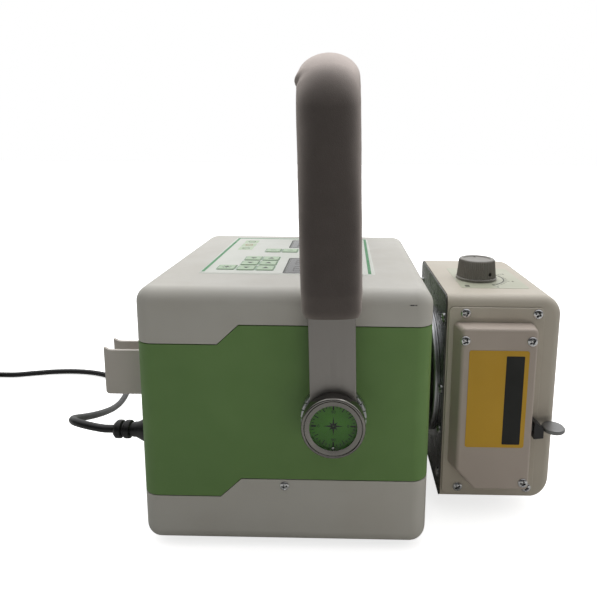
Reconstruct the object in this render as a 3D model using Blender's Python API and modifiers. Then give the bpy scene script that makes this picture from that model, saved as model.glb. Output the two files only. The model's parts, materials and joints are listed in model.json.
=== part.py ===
"""Portable x-ray generator with a swivelling collimator, a swing handle and its mains lead.

Every length is in metres. The shapes are drawn in the body's own frame: x runs forward
from the rear wall to the collimator, y runs across from the middle and z up from the
underside. One empty then carries the whole object to its reference point, which is the
middle of its footprint at the height of the feet.
"""

import math

import bmesh
import bpy
from mathutils import Matrix, Vector

# General clearances
FIT = 0.0003            # gap between faces that touch on the real object
RUNNING = 0.0005        # gap round pieces that slide or turn
SPILL = 0.02            # how far a cutter reaches past what it cuts
ROUND_STEPS = 32

# Housing
BODY_LENGTH = 0.240
BODY_WIDTH = 0.257
BODY_HEIGHT = 0.222
WALL = 0.003
CORNER_RADIUS = 0.0145
EDGE_RADIUS = 0.0125
LOWER_SEAM_HEIGHT = 0.044
UPPER_SEAM_HEIGHT = 0.177
SEAM_STEP = 0.0165
SEAM_STEP_START = 0.067
SEAM_STEP_LENGTH = 0.0175
SEAM_GAP = 0.0006

# Feet and cover screws
FOOT_HEIGHT = 0.005
FOOT_RADIUS = 0.009
FOOT_INSET = 0.030
SCREW_HEAD_RADIUS = 0.004
SCREW_SHANK_RADIUS = 0.0019
COVER_SCREW_X = 0.1204
COVER_SCREW_DROP = 0.0058

# Control panel on the top cover
PANEL_REAR_X = 0.0405
PANEL_LENGTH = 0.1535
PANEL_NEAR_Y = -0.0745
PANEL_WIDTH = 0.1755
PANEL_THICKNESS = 0.0016
PANEL_POCKET = 0.0012
PANEL_CORNER = 0.004
KEY_WIDTH = 0.0148
KEY_DEPTH = 0.0158
KEY_HEIGHT = 0.0011
KEY_TRAVEL = 0.0004
KEY_WELL_FLOOR = 0.0004
KEY_COLUMN_X = (0.0786, 0.0961)
KEY_ROW_Y = (-0.0557, -0.0354, -0.0148)
LAMP_KEY_PLACE = (0.0604, -0.0540)
SMALL_KEY_X = (0.0930, 0.1107)
SMALL_KEY_Y = 0.0254
MAIN_DISPLAY = (0.1155, -0.0720, 0.062, 0.059)
STATUS_DISPLAY = (0.1095, 0.0425, 0.066, 0.042)
DISPLAY_THICKNESS = 0.0012

# Beam axis, tube and generator vessel
BEAM_HEIGHT = 0.1075
BEAM_PORT_RADIUS = 0.024
VESSEL_LENGTH = 0.104
VESSEL_WIDTH = 0.170
VESSEL_HEIGHT = 0.126
VESSEL_WALL = 0.004
VESSEL_FRONT_GAP = 0.004
TUBE_RADIUS = 0.023
TUBE_LENGTH = 0.120
TUBE_NECK_RADIUS = 0.012
ELECTRODE_RADIUS = 0.0085
TRANSFORMER_SIZE = (0.050, 0.060, 0.042)
CHASSIS_LIFT = 0.012
CHASSIS_THICKNESS = 0.002
CHASSIS_FLANGE = 0.016
INSIDE_GAP = 0.006      # between the tray and the covers
BOARD_GAP = 0.004       # round the inverter board
BOARD_THICKNESS = 0.0016
INVERTER_NEAR_Y = -0.055
INVERTER_FAR_Y = 0.105
CONTROL_BOARD_DEPTH = 0.012

# Collimator
SWIVEL_GAP = 0.020
COLLIMATOR_LENGTH = 0.1018
COLLIMATOR_WIDTH = 0.150
COLLIMATOR_HEIGHT = 0.194
COLLIMATOR_WALL = 0.003
COLLIMATOR_EDGE = 0.008
COLLIMATOR_LOWER_EDGE = 0.0015
COLLIMATOR_FRONT_RADIUS = 0.018
REAR_PLATE_THICKNESS = 0.0015
REAR_PLATE_INSET = 0.0006
REAR_SCREW_INSET = 0.009
REAR_SCREW_OFFSETS = (-0.078, -0.035, 0.005, 0.074)
SWIVEL_RING_RADIUS = 0.063
SWIVEL_RING_BORE = 0.047
SWIVEL_RING_THICKNESS = 0.006
COLLAR_RADIUS = 0.046
COLLAR_BORE = 0.031
SIDE_PLATE_THICKNESS = 0.0014
SIDE_PLATE_LENGTH = 0.084
SIDE_PLATE_HEIGHT = 0.180
SIDE_PLATE_BOTTOM = 0.0145
SIDE_PLATE_CORNER = 0.005
SIDE_PLATE_SETBACK = 0.0012
SIDE_SCREW_SETBACK = 0.0157
SIDE_SCREW_SPACING = 0.0634
SIDE_SCREW_LOW = 0.0070
SIDE_SCREW_HIGH = 0.0055
SIDE_BOX_SETBACK = 0.0026
SIDE_BOX_LENGTH = 0.0750
SIDE_BOX_BOTTOM = 0.0265
SIDE_BOX_HEIGHT = 0.1551
SIDE_BOX_DEPTH = 0.014
SIDE_BOX_DRAFT = 0.0045
SIDE_BOX_CUT = 0.020
SIDE_BOX_WALL = 0.002
SIDE_BOX_CORNER = 0.004
SIDE_BOX_PILLAR_RADIUS = 0.003
BOX_SCREW_REAR = 0.0105
BOX_SCREW_FRONT = 0.0070
BOX_SCREW_TOP = 0.0126
BOX_SCREW_BOTTOM = 0.0092
COLLIMATOR_SCREW_SHANK = 0.0014
WINDOW_SIZE = 0.092
WINDOW_THICKNESS = 0.0018
WINDOW_SEAT = 0.0018
WINDOW_LIP = 0.003
APERTURE_SIZE = 0.060
GUIDE_THICKNESS = 0.002
GUIDE_SETBACK = 0.0298
BLADE_THICKNESS = 0.002
BLADE_LENGTH = 0.036
BLADE_WIDTH = 0.080
BLADE_OPENING = 0.004
MIRROR_LENGTH = 0.062
MIRROR_WIDTH = 0.052
MIRROR_THICKNESS = 0.002
LAMP_SHELF_DROP = 0.050
LAMP_SHELF_LENGTH = 0.046
LAMP_SHELF_WIDTH = 0.040
LAMP_SHELF_TALL = 0.030
LAMP_SHELF_THICKNESS = 0.002
LAMP_RADIUS = 0.009
LAMP_HEIGHT = 0.016
KNOB_BASE_RADIUS = 0.0196
KNOB_TOP_RADIUS = 0.0173
KNOB_HEIGHT = 0.0202
KNOB_RIBS = 26
KNOB_RIB_DEPTH = 0.0007
KNOB_SKIRT = 0.0035
KNOB_CAP_RADIUS = 0.0131
KNOB_CAP_DEPTH = 0.0006
KNOB_SHAFT_RADIUS = 0.003
KNOB_SHAFT_LENGTH = 0.014
SET_SCREW_RADIUS = 0.0017
SET_SCREW_HEIGHT = 0.0072
SET_SCREW_TURN = math.radians(33)
KNOB_SETBACK = 0.0393
KNOB_Y = -0.0121
TAPE_HEIGHT = 0.0865
TAPE_Y = -0.0860
TAPE_TAB_RADIUS = 0.0099
TAPE_TAB_THICKNESS = 0.004
TAPE_TAB_SETBACK = 0.0056
TAPE_OUTLET_LENGTH = 0.0085
TAPE_OUTLET_WIDTH = 0.0125
TAPE_OUTLET_SHIFT = 0.0018
TAPE_BLADE_THICKNESS = 0.0006
TAPE_BLADE_HEIGHT = 0.006
TAPE_BLADE_LENGTH = 0.062

# Handle
PIVOT_X = 0.1608
PIVOT_HEIGHT = 0.1196
HANDLE_LEAN = math.radians(1.3)
DETENT_RING_RADIUS = 0.0262
DETENT_RING_THICKNESS = 0.008
DETENT_COUNT = 30
NOTCH_DEPTH = 0.003
NOTCH_WIDTH = 0.001
STRAP_WIDTH = 0.0364
STRAP_THICKNESS = 0.005
HANDLE_REACH = 0.2835
HANDLE_BEND_RADIUS = 0.027
FOAM_START = 0.0855
FOAM_HALF_WIDTH = 0.0235
FOAM_END_HALF_WIDTH = 0.0217
FOAM_HALF_THICKNESS = 0.017
FOAM_ARM_HALF_THICKNESS = 0.0125
FOAM_INNER_HALF_THICKNESS = 0.0145
FOAM_END_HALF_THICKNESS = 0.0080
FOAM_END_LENGTH = 0.020
FOAM_SWELL_START = 0.150
FOAM_SWELL_LENGTH = 0.070
HUB_CAP_RADIUS = 0.0251
HUB_CAP_THICKNESS = 0.0105
DIAL_RECESS_RADIUS = 0.0192
DIAL_THICKNESS = 0.0008
LENS_THICKNESS = 0.001
LENS_SETBACK = 0.0008
LEVEL_BALL_RADIUS = 0.0013
STUD_RADIUS = 0.006
STUD_PAST_WALL = 0.008

# Rear fittings
HOLDER_Y = -0.0842
HOLDER_BOTTOM = 0.118
HOLDER_HEIGHT = 0.0425
HOLDER_INNER_RADIUS = 0.0090
HOLDER_WALL = 0.0029
HOLDER_REACH = 0.0395
HOLDER_TIP = 0.0015
HOLDER_DIP = 0.0024
HOLDER_CORNER = 0.004
INLET_Y = -0.0885
INLET_HEIGHT = 0.0805
INLET_WIDTH = 0.032
INLET_TALL = 0.028
INLET_FLANGE = 0.002
SOCKET_WIDTH = 0.0245
SOCKET_TALL = 0.0172
SOCKET_DEPTH = 0.017
SLEEVE_WALL = 0.0015
NOSE_GAP = 0.0007
ROCKER_Y = -0.0555
ROCKER_WIDTH = 0.013
ROCKER_TALL = 0.022
ROCKER_DEPTH = 0.012
ROCKER_PROUD = 0.0032
ROCKER_END_GAP = 0.0012

# Mains lead
CORD_RADIUS = 0.0035
CORD_POINTS = 46
CONNECTOR_REACH = 0.0370
CONNECTOR_RADIUS = 0.0110
COIL_MEAN_RADIUS = 0.039
COIL_HALF_WIDTH = 0.0105
COIL_HEIGHT = 0.0148
COIL_EDGE = 0.003
COIL_X = -0.365
COIL_Y = 0.158
PLUG_LENGTH = 0.045
PLUG_RADIUS = 0.0165
PLUG_NECK_RADIUS = 0.0062
PLUG_PIN_RADIUS = 0.0024
PLUG_PIN_REACH = 0.020
PLUG_PIN_OFFSET = 0.0095

# Values worked out from the ones above
HALF_WIDTH = BODY_WIDTH / 2
COLLIMATOR_REAR_X = BODY_LENGTH + SWIVEL_GAP
COLLIMATOR_FRONT_X = COLLIMATOR_REAR_X + COLLIMATOR_LENGTH
COLLIMATOR_BOTTOM = BEAM_HEIGHT - COLLIMATOR_HEIGHT / 2
COLLIMATOR_TOP = BEAM_HEIGHT + COLLIMATOR_HEIGHT / 2
COLLIMATOR_HALF = COLLIMATOR_WIDTH / 2
SIDE_BOX_REAR_X = COLLIMATOR_REAR_X + SIDE_BOX_SETBACK
SIDE_BOX_FRONT_X = SIDE_BOX_REAR_X + SIDE_BOX_LENGTH
KNOB_X = COLLIMATOR_REAR_X + KNOB_SETBACK
GUIDE_X = COLLIMATOR_FRONT_X - GUIDE_SETBACK
TAPE_TAB_X = COLLIMATOR_FRONT_X - TAPE_TAB_SETBACK
STRAP_INNER = DETENT_RING_THICKNESS + FIT
STRAP_MIDDLE = STRAP_INNER + STRAP_THICKNESS / 2
CAP_INNER = STRAP_INNER + STRAP_THICKNESS + FIT
CAP_OUTER = CAP_INNER + HUB_CAP_THICKNESS
FRONT_REACH = TAPE_TAB_X + TAPE_TAB_RADIUS
REAR_REACH = -HOLDER_REACH
ORIGIN = Vector((-(FRONT_REACH + REAR_REACH) / 2, 0, FOOT_HEIGHT))


def clear_scene():
    for scene_object in list(bpy.data.objects):
        bpy.data.objects.remove(scene_object, do_unlink=True)


clear_scene()
PARTS = bpy.data.collections.new("portable_xray_generator")
CUTTERS = bpy.data.collections.new("cutters")
bpy.context.scene.collection.children.link(PARTS)
bpy.context.scene.collection.children.link(CUTTERS)


def make_material(name, colour, roughness, metallic=0.0):
    material = bpy.data.materials.new(name)
    material.use_nodes = True
    shader = material.node_tree.nodes["Principled BSDF"]
    shader.inputs["Base Color"].default_value = (*colour, 1.0)
    shader.inputs["Roughness"].default_value = roughness
    shader.inputs["Metallic"].default_value = metallic
    return material


MATERIALS = {
    "white_cover": make_material("white_cover", (0.72, 0.71, 0.66), 0.5),
    "green_band": make_material("green_band", (0.24, 0.45, 0.11), 0.5),
    "collimator_cream": make_material("collimator_cream", (0.70, 0.66, 0.58), 0.5),
    "panel_film": make_material("panel_film", (0.80, 0.80, 0.76), 0.4),
    "key_film": make_material("key_film", (0.45, 0.62, 0.42), 0.4),
    "dark_window": make_material("dark_window", (0.03, 0.03, 0.035), 0.15),
    "foam": make_material("foam", (0.10, 0.09, 0.085), 0.9),
    "satin_aluminium": make_material("satin_aluminium", (0.60, 0.60, 0.60), 0.35, 1.0),
    "chrome": make_material("chrome", (0.80, 0.80, 0.80), 0.12, 1.0),
    "dial_green": make_material("dial_green", (0.10, 0.30, 0.05), 0.5),
    "clear": make_material("clear", (0.90, 0.92, 0.92), 0.05),
    "knob_grey": make_material("knob_grey", (0.30, 0.29, 0.27), 0.45),
    "black_plastic": make_material("black_plastic", (0.02, 0.02, 0.02), 0.45),
    "rubber": make_material("rubber", (0.03, 0.03, 0.03), 0.8),
    "board": make_material("board", (0.04, 0.20, 0.07), 0.5),
    "copper": make_material("copper", (0.70, 0.35, 0.20), 0.35, 1.0),
    "steel": make_material("steel", (0.55, 0.55, 0.56), 0.35, 1.0),
}


def add_empty(name, place, parent=None):
    """An empty on a joint's axis. The place is in the body's frame."""
    empty = bpy.data.objects.new(name, None)
    empty["place"] = place
    PARTS.objects.link(empty)
    if parent is None:
        empty.location = ORIGIN
    else:
        empty.parent = parent
        empty.location = Vector(place) - Vector(parent["place"])
    return empty


BODY = add_empty("body_frame", (0.0, 0.0, 0.0))


def add_object(name, mesh, place=(0.0, 0.0, 0.0), parent=None, cutter=False):
    """Link a mesh whose own origin lies at a place in the body's frame."""
    parent = parent or BODY
    new_object = bpy.data.objects.new(name, mesh)
    new_object.parent = parent
    new_object.location = Vector(place) - Vector(parent["place"])
    if cutter:
        CUTTERS.objects.link(new_object)
        new_object.hide_render = True
        new_object.display_type = "WIRE"
    else:
        PARTS.objects.link(new_object)
    return new_object


def finish(part, material, smooth_angle=35):
    part.data.materials.clear()
    part.data.materials.append(MATERIALS[material])
    part.data.shade_smooth()
    part.data.set_sharp_from_angle(angle=math.radians(smooth_angle))
    return part


def mesh_from(name, build):
    """Make a mesh from a function that fills a bmesh."""
    work = bmesh.new()
    build(work)
    bmesh.ops.recalc_face_normals(work, faces=work.faces)
    mesh = bpy.data.meshes.new(name)
    work.to_mesh(mesh)
    work.free()
    return mesh


def fill_box(work, size, middle=(0.0, 0.0, 0.0)):
    shift = Matrix.Translation(middle) @ Matrix.Diagonal((*size, 1.0))
    return bmesh.ops.create_cube(work, size=1.0, matrix=shift)["verts"]


def fill_cylinder(work, radius, length, middle=(0, 0, 0), axis="Z", steps=ROUND_STEPS):
    turn = {
        "X": Matrix.Rotation(math.pi / 2, 4, "Y"),
        "Y": Matrix.Rotation(-math.pi / 2, 4, "X"),
        "Z": Matrix.Identity(4),
    }[axis]
    return bmesh.ops.create_cone(
        work, cap_ends=True, segments=steps, radius1=radius, radius2=radius,
        depth=length, matrix=Matrix.Translation(middle) @ turn,
    )["verts"]


def box_mesh(name, size):
    return mesh_from(name, lambda work: fill_box(work, size))


def cylinder_mesh(name, radius, length, axis="Z", steps=ROUND_STEPS):
    return mesh_from(name, lambda work: fill_cylinder(work, radius, length, (0, 0, 0), axis, steps))


def outline_mesh(name, points, thickness, plane="XY"):
    """A flat outline, drawn as a filled curve and thickened evenly about its plane."""
    curve = bpy.data.curves.new(name + "_outline", "CURVE")
    curve.dimensions = "2D"
    curve.fill_mode = "BOTH"
    curve.extrude = thickness / 2
    spline = curve.splines.new("POLY")
    spline.points.add(len(points) - 1)
    for point, (across, along) in zip(spline.points, points):
        point.co = (across, along, 0.0, 1.0)
    spline.use_cyclic_u = True
    source = bpy.data.objects.new(name + "_outline", curve)
    bpy.context.scene.collection.objects.link(source)
    bpy.context.view_layer.update()
    mesh = bpy.data.meshes.new_from_object(source.evaluated_get(bpy.context.evaluated_depsgraph_get()))
    bpy.data.objects.remove(source, do_unlink=True)
    work = bmesh.new()
    work.from_mesh(mesh)
    bmesh.ops.remove_doubles(work, verts=work.verts, dist=0.00001)
    turn = {
        "XY": Matrix.Identity(4),
        "XZ": Matrix.Rotation(math.pi / 2, 4, "X"),
        "YZ": Matrix(((0, 0, 1, 0), (1, 0, 0, 0), (0, 1, 0, 0), (0, 0, 0, 1))),
    }[plane]
    bmesh.ops.transform(work, matrix=turn, verts=work.verts)
    bmesh.ops.recalc_face_normals(work, faces=work.faces)
    work.to_mesh(mesh)
    work.free()
    mesh.name = name
    return mesh


def turned(name, profile, place, axis="Z", parent=None, steps=ROUND_STEPS, cutter=False):
    """Turn a profile of (radius, height) points, listed down its outer side from the top."""
    mesh = bpy.data.meshes.new(name)
    points = [(radius, 0.0, height) for radius, height in profile]
    closed = profile[0][0] > 0 and profile[-1][0] > 0
    edges = [(index, index + 1) for index in range(len(points) - 1)]
    if closed:
        edges.append((len(points) - 1, 0))
    mesh.from_pydata(points, edges, [])
    part = add_object(name, mesh, place, parent, cutter)
    part.rotation_euler = {
        "Z": (0, 0, 0), "-Z": (math.pi, 0, 0), "X": (0, math.pi / 2, 0), "-X": (0, -math.pi / 2, 0),
        "Y": (-math.pi / 2, 0, 0), "-Y": (math.pi / 2, 0, 0),
    }[axis]
    screw = part.modifiers.new("turn", "SCREW")
    screw.angle = 2 * math.pi
    screw.steps = steps
    screw.render_steps = steps
    screw.use_merge_vertices = True
    screw.merge_threshold = 0.00001
    screw.use_normal_calculate = False
    return part


def add_bevel(part, width, segments=2, angle=40):
    bevel = part.modifiers.new("soft_edges", "BEVEL")
    bevel.width = width
    bevel.segments = segments
    bevel.limit_method = "ANGLE"
    bevel.angle_limit = math.radians(angle)
    bevel.harden_normals = False
    return bevel


def cut(part, cutter, operation="DIFFERENCE"):
    boolean = part.modifiers.new(operation.lower(), "BOOLEAN")
    boolean.operation = operation
    boolean.object = cutter
    boolean.solver = "EXACT"
    return boolean


def box_part(name, low, high, material, bevel=0.0, parent=None, segments=2):
    """A box between two corners in the body's frame."""
    size = [high[axis] - low[axis] for axis in range(3)]
    middle = [(high[axis] + low[axis]) / 2 for axis in range(3)]
    part = add_object(name, box_mesh(name, size), middle, parent)
    if bevel:
        add_bevel(part, bevel, segments)
    return finish(part, material)


def box_cutter(name, low, high, parent=None):
    size = [high[axis] - low[axis] for axis in range(3)]
    middle = [(high[axis] + low[axis]) / 2 for axis in range(3)]
    return add_object(name, box_mesh(name, size), middle, parent, cutter=True)


def hole_cutter(name, radius, place, axis, length=SPILL, steps=24):
    return add_object(name, cylinder_mesh(name, radius, length, axis, steps), place, cutter=True)


def rounded_rectangle(low, high, radius, arc_steps=4):
    """Points of a rectangle with round corners, going round once."""
    middles = [
        (high[0] - radius, high[1] - radius, 0), (low[0] + radius, high[1] - radius, 90),
        (low[0] + radius, low[1] + radius, 180), (high[0] - radius, low[1] + radius, 270),
    ]
    points = []
    for across, along, start in middles:
        for step in range(arc_steps + 1):
            angle = math.radians(start + 90 * step / arc_steps)
            points.append((across + radius * math.cos(angle), along + radius * math.sin(angle)))
    return points


# Housing shells

def seam_outline(level, low, high):
    """The stepped parting line, closed along a far edge below or above it."""
    rear = -SPILL
    front = BODY_LENGTH + SPILL
    step_end = SEAM_STEP_START + SEAM_STEP_LENGTH
    line = [(rear, level), (SEAM_STEP_START, level), (step_end, level + SEAM_STEP), (front, level + SEAM_STEP)]
    far = high if high is not None else low
    return line + [(front, far), (rear, far)]


def housing_form(name, inset=0.0, cutter=False):
    """The rounded outer form, or the same form moved inward."""
    size = (BODY_LENGTH - 2 * inset, BODY_WIDTH - 2 * inset, BODY_HEIGHT - 2 * inset)
    corner = CORNER_RADIUS - inset
    edge = EDGE_RADIUS - inset

    def build(work):
        fill_box(work, size)
        upright = [e for e in work.edges if abs(e.verts[0].co.z - e.verts[1].co.z) > size[2] / 2]
        bmesh.ops.bevel(work, geom=upright, offset=corner, segments=4, profile=0.5, affect="EDGES")
        top_and_bottom = [
            e for e in work.edges
            if abs(e.verts[0].co.z - e.verts[1].co.z) < 0.00001 and len(e.link_faces) == 2
            and any(abs(f.normal.z) > 0.9 for f in e.link_faces)
            and any(abs(f.normal.z) < 0.1 for f in e.link_faces)
        ]
        bmesh.ops.bevel(work, geom=top_and_bottom, offset=edge, segments=4, profile=0.5, affect="EDGES")

    middle = (BODY_LENGTH / 2, 0.0, BODY_HEIGHT / 2)
    return add_object(name, mesh_from(name, build), middle, cutter=cutter)


def housing_shell(name, material, outlines):
    """A hollow slice of the housing: the outer form less the inner one, between seam lines."""
    shell = housing_form(name)
    for index, (outline, operation) in enumerate(outlines):
        slab = add_object(
            f"{name}_slab_{index}",
            outline_mesh(f"{name}_slab_{index}", outline, BODY_WIDTH + 2 * SPILL, "XZ"),
            cutter=True)
        cut(shell, slab, operation)
    cut(shell, HOUSING_CAVITY)
    return finish(shell, material)


HOUSING_CAVITY = housing_form("housing_cavity", inset=WALL, cutter=True)


def build_housing():
    lower = LOWER_SEAM_HEIGHT
    upper = UPPER_SEAM_HEIGHT
    base = housing_shell("base_cover", "white_cover", [
        (seam_outline(lower - SEAM_GAP / 2, -SPILL, None), "INTERSECT"),
    ])
    band = housing_shell("middle_band", "green_band", [
        (seam_outline(lower + SEAM_GAP / 2, -SPILL, None), "DIFFERENCE"),
        (seam_outline(upper - SEAM_GAP / 2, None, BODY_HEIGHT + SPILL), "DIFFERENCE"),
    ])
    top = housing_shell("top_cover", "white_cover", [
        (seam_outline(upper + SEAM_GAP / 2, None, BODY_HEIGHT + SPILL), "INTERSECT"),
    ])
    return base, band, top


def cut_housing(base, band, top):
    """Openings for the fittings, each a little larger than what passes through it."""
    screw_height = LOWER_SEAM_HEIGHT + SEAM_STEP - COVER_SCREW_DROP
    for side in (-1, 1):
        cut(base, hole_cutter(
            f"cover_screw_hole_{side}", SCREW_SHANK_RADIUS + FIT,
            (COVER_SCREW_X, side * HALF_WIDTH, screw_height), "Y", steps=12))
        cut(band, hole_cutter(
            f"stud_hole_{side}", STUD_RADIUS + FIT, (PIVOT_X, side * HALF_WIDTH, PIVOT_HEIGHT), "Y"))
    for index, place in enumerate(foot_places()):
        cut(base, hole_cutter(
            f"foot_screw_hole_{index}", SCREW_SHANK_RADIUS + FIT, (place[0], place[1], 0.0), "Z", steps=10))
    cut(band, hole_cutter(
        "port_hole", COLLAR_RADIUS + FIT, (BODY_LENGTH, 0.0, BEAM_HEIGHT), "X", steps=ROUND_STEPS))
    margin = SLEEVE_WALL + FIT
    for name, side, width, tall in (("inlet", INLET_Y, SOCKET_WIDTH, SOCKET_TALL),
                                    ("rocker", ROCKER_Y, ROCKER_WIDTH, ROCKER_TALL)):
        cut(band, box_cutter(
            name + "_hole", (-SPILL, side - width / 2 - margin, INLET_HEIGHT - tall / 2 - margin),
            (SPILL, side + width / 2 + margin, INLET_HEIGHT + tall / 2 + margin)))
    pocket = outline_mesh("panel_pocket", rounded_rectangle(
        (PANEL_REAR_X - FIT, PANEL_NEAR_Y - FIT),
        (PANEL_REAR_X + PANEL_LENGTH + FIT, PANEL_NEAR_Y + PANEL_WIDTH + FIT), PANEL_CORNER), 2 * PANEL_POCKET)
    cut(top, add_object("panel_pocket", pocket, (0.0, 0.0, BODY_HEIGHT), cutter=True))


def foot_places():
    return [
        (across, side * (HALF_WIDTH - FOOT_INSET), 0.0)
        for across in (FOOT_INSET, BODY_LENGTH - FOOT_INSET) for side in (-1, 1)
    ]


def build_feet():
    """Turned rubber feet, each with a recess for the screw that holds it."""
    for index, (across, side, _) in enumerate(foot_places()):
        foot = turned(f"rubber_foot_{index + 1}", [
            (0.0, -FIT), (FOOT_RADIUS, -FIT), (FOOT_RADIUS, -FOOT_HEIGHT * 0.4),
            (FOOT_RADIUS * 0.85, -FOOT_HEIGHT), (SCREW_HEAD_RADIUS + FIT, -FOOT_HEIGHT),
            (SCREW_HEAD_RADIUS + FIT, -FOOT_HEIGHT * 0.5), (0.0, -FOOT_HEIGHT * 0.5),
        ], (across, side, 0.0), "Z", steps=12)
        finish(foot, "rubber")


# Control panel

def key_places():
    """Names and middles of the keys that travel, in the body's frame."""
    keys = [("lamp_key", *LAMP_KEY_PLACE)]
    for column, across in zip(("lower", "raise"), KEY_COLUMN_X):
        for row, along in enumerate(KEY_ROW_Y):
            keys.append((f"{column}_key_{row + 1}", across, along))
    for index, across in enumerate(SMALL_KEY_X):
        keys.append((f"memory_key_{index + 1}", across, SMALL_KEY_Y))
    return keys


def build_panel():
    top_face = BODY_HEIGHT - PANEL_POCKET + FIT + PANEL_THICKNESS
    sheet = add_object("panel_sheet", outline_mesh("panel_sheet", rounded_rectangle(
        (PANEL_REAR_X, PANEL_NEAR_Y), (PANEL_REAR_X + PANEL_LENGTH, PANEL_NEAR_Y + PANEL_WIDTH),
        PANEL_CORNER), PANEL_THICKNESS), (0.0, 0.0, top_face - PANEL_THICKNESS / 2))
    for name, across, along in key_places():
        well = box_cutter(
            name + "_well",
            (across - KEY_WIDTH / 2 - FIT, along - KEY_DEPTH / 2 - FIT,
             top_face - PANEL_THICKNESS + KEY_WELL_FLOOR),
            (across + KEY_WIDTH / 2 + FIT, along + KEY_DEPTH / 2 + FIT, top_face + SPILL))
        cut(sheet, well)
    for name, (across, along, length, width) in (("main", MAIN_DISPLAY), ("status", STATUS_DISPLAY)):
        cut(sheet, box_cutter(
            name + "_window_well",
            (across - FIT, along - FIT, top_face - DISPLAY_THICKNESS),
            (across + length + FIT, along + width + FIT, top_face + SPILL)))
    finish(sheet, "panel_film")

    windows = (("main_display", MAIN_DISPLAY), ("status_display", STATUS_DISPLAY))
    for name, (across, along, length, width) in windows:
        box_part(name, (across, along, top_face - DISPLAY_THICKNESS + FIT),
                 (across + length, along + width, top_face),
                 "dark_window")
    for name, across, along in key_places():
        rise = top_face + KEY_HEIGHT - (PANEL_THICKNESS - KEY_WELL_FLOOR - KEY_TRAVEL - FIT)
        low = top_face - PANEL_THICKNESS + KEY_WELL_FLOOR + KEY_TRAVEL + FIT
        pivot = add_empty(name + "_guide", (across, along, low), BODY)
        box_part(
            name, (across - KEY_WIDTH / 2, along - KEY_DEPTH / 2, low),
            (across + KEY_WIDTH / 2, along + KEY_DEPTH / 2, rise), "key_film", 0.0003, pivot, 1)


# Inside the housing

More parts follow.
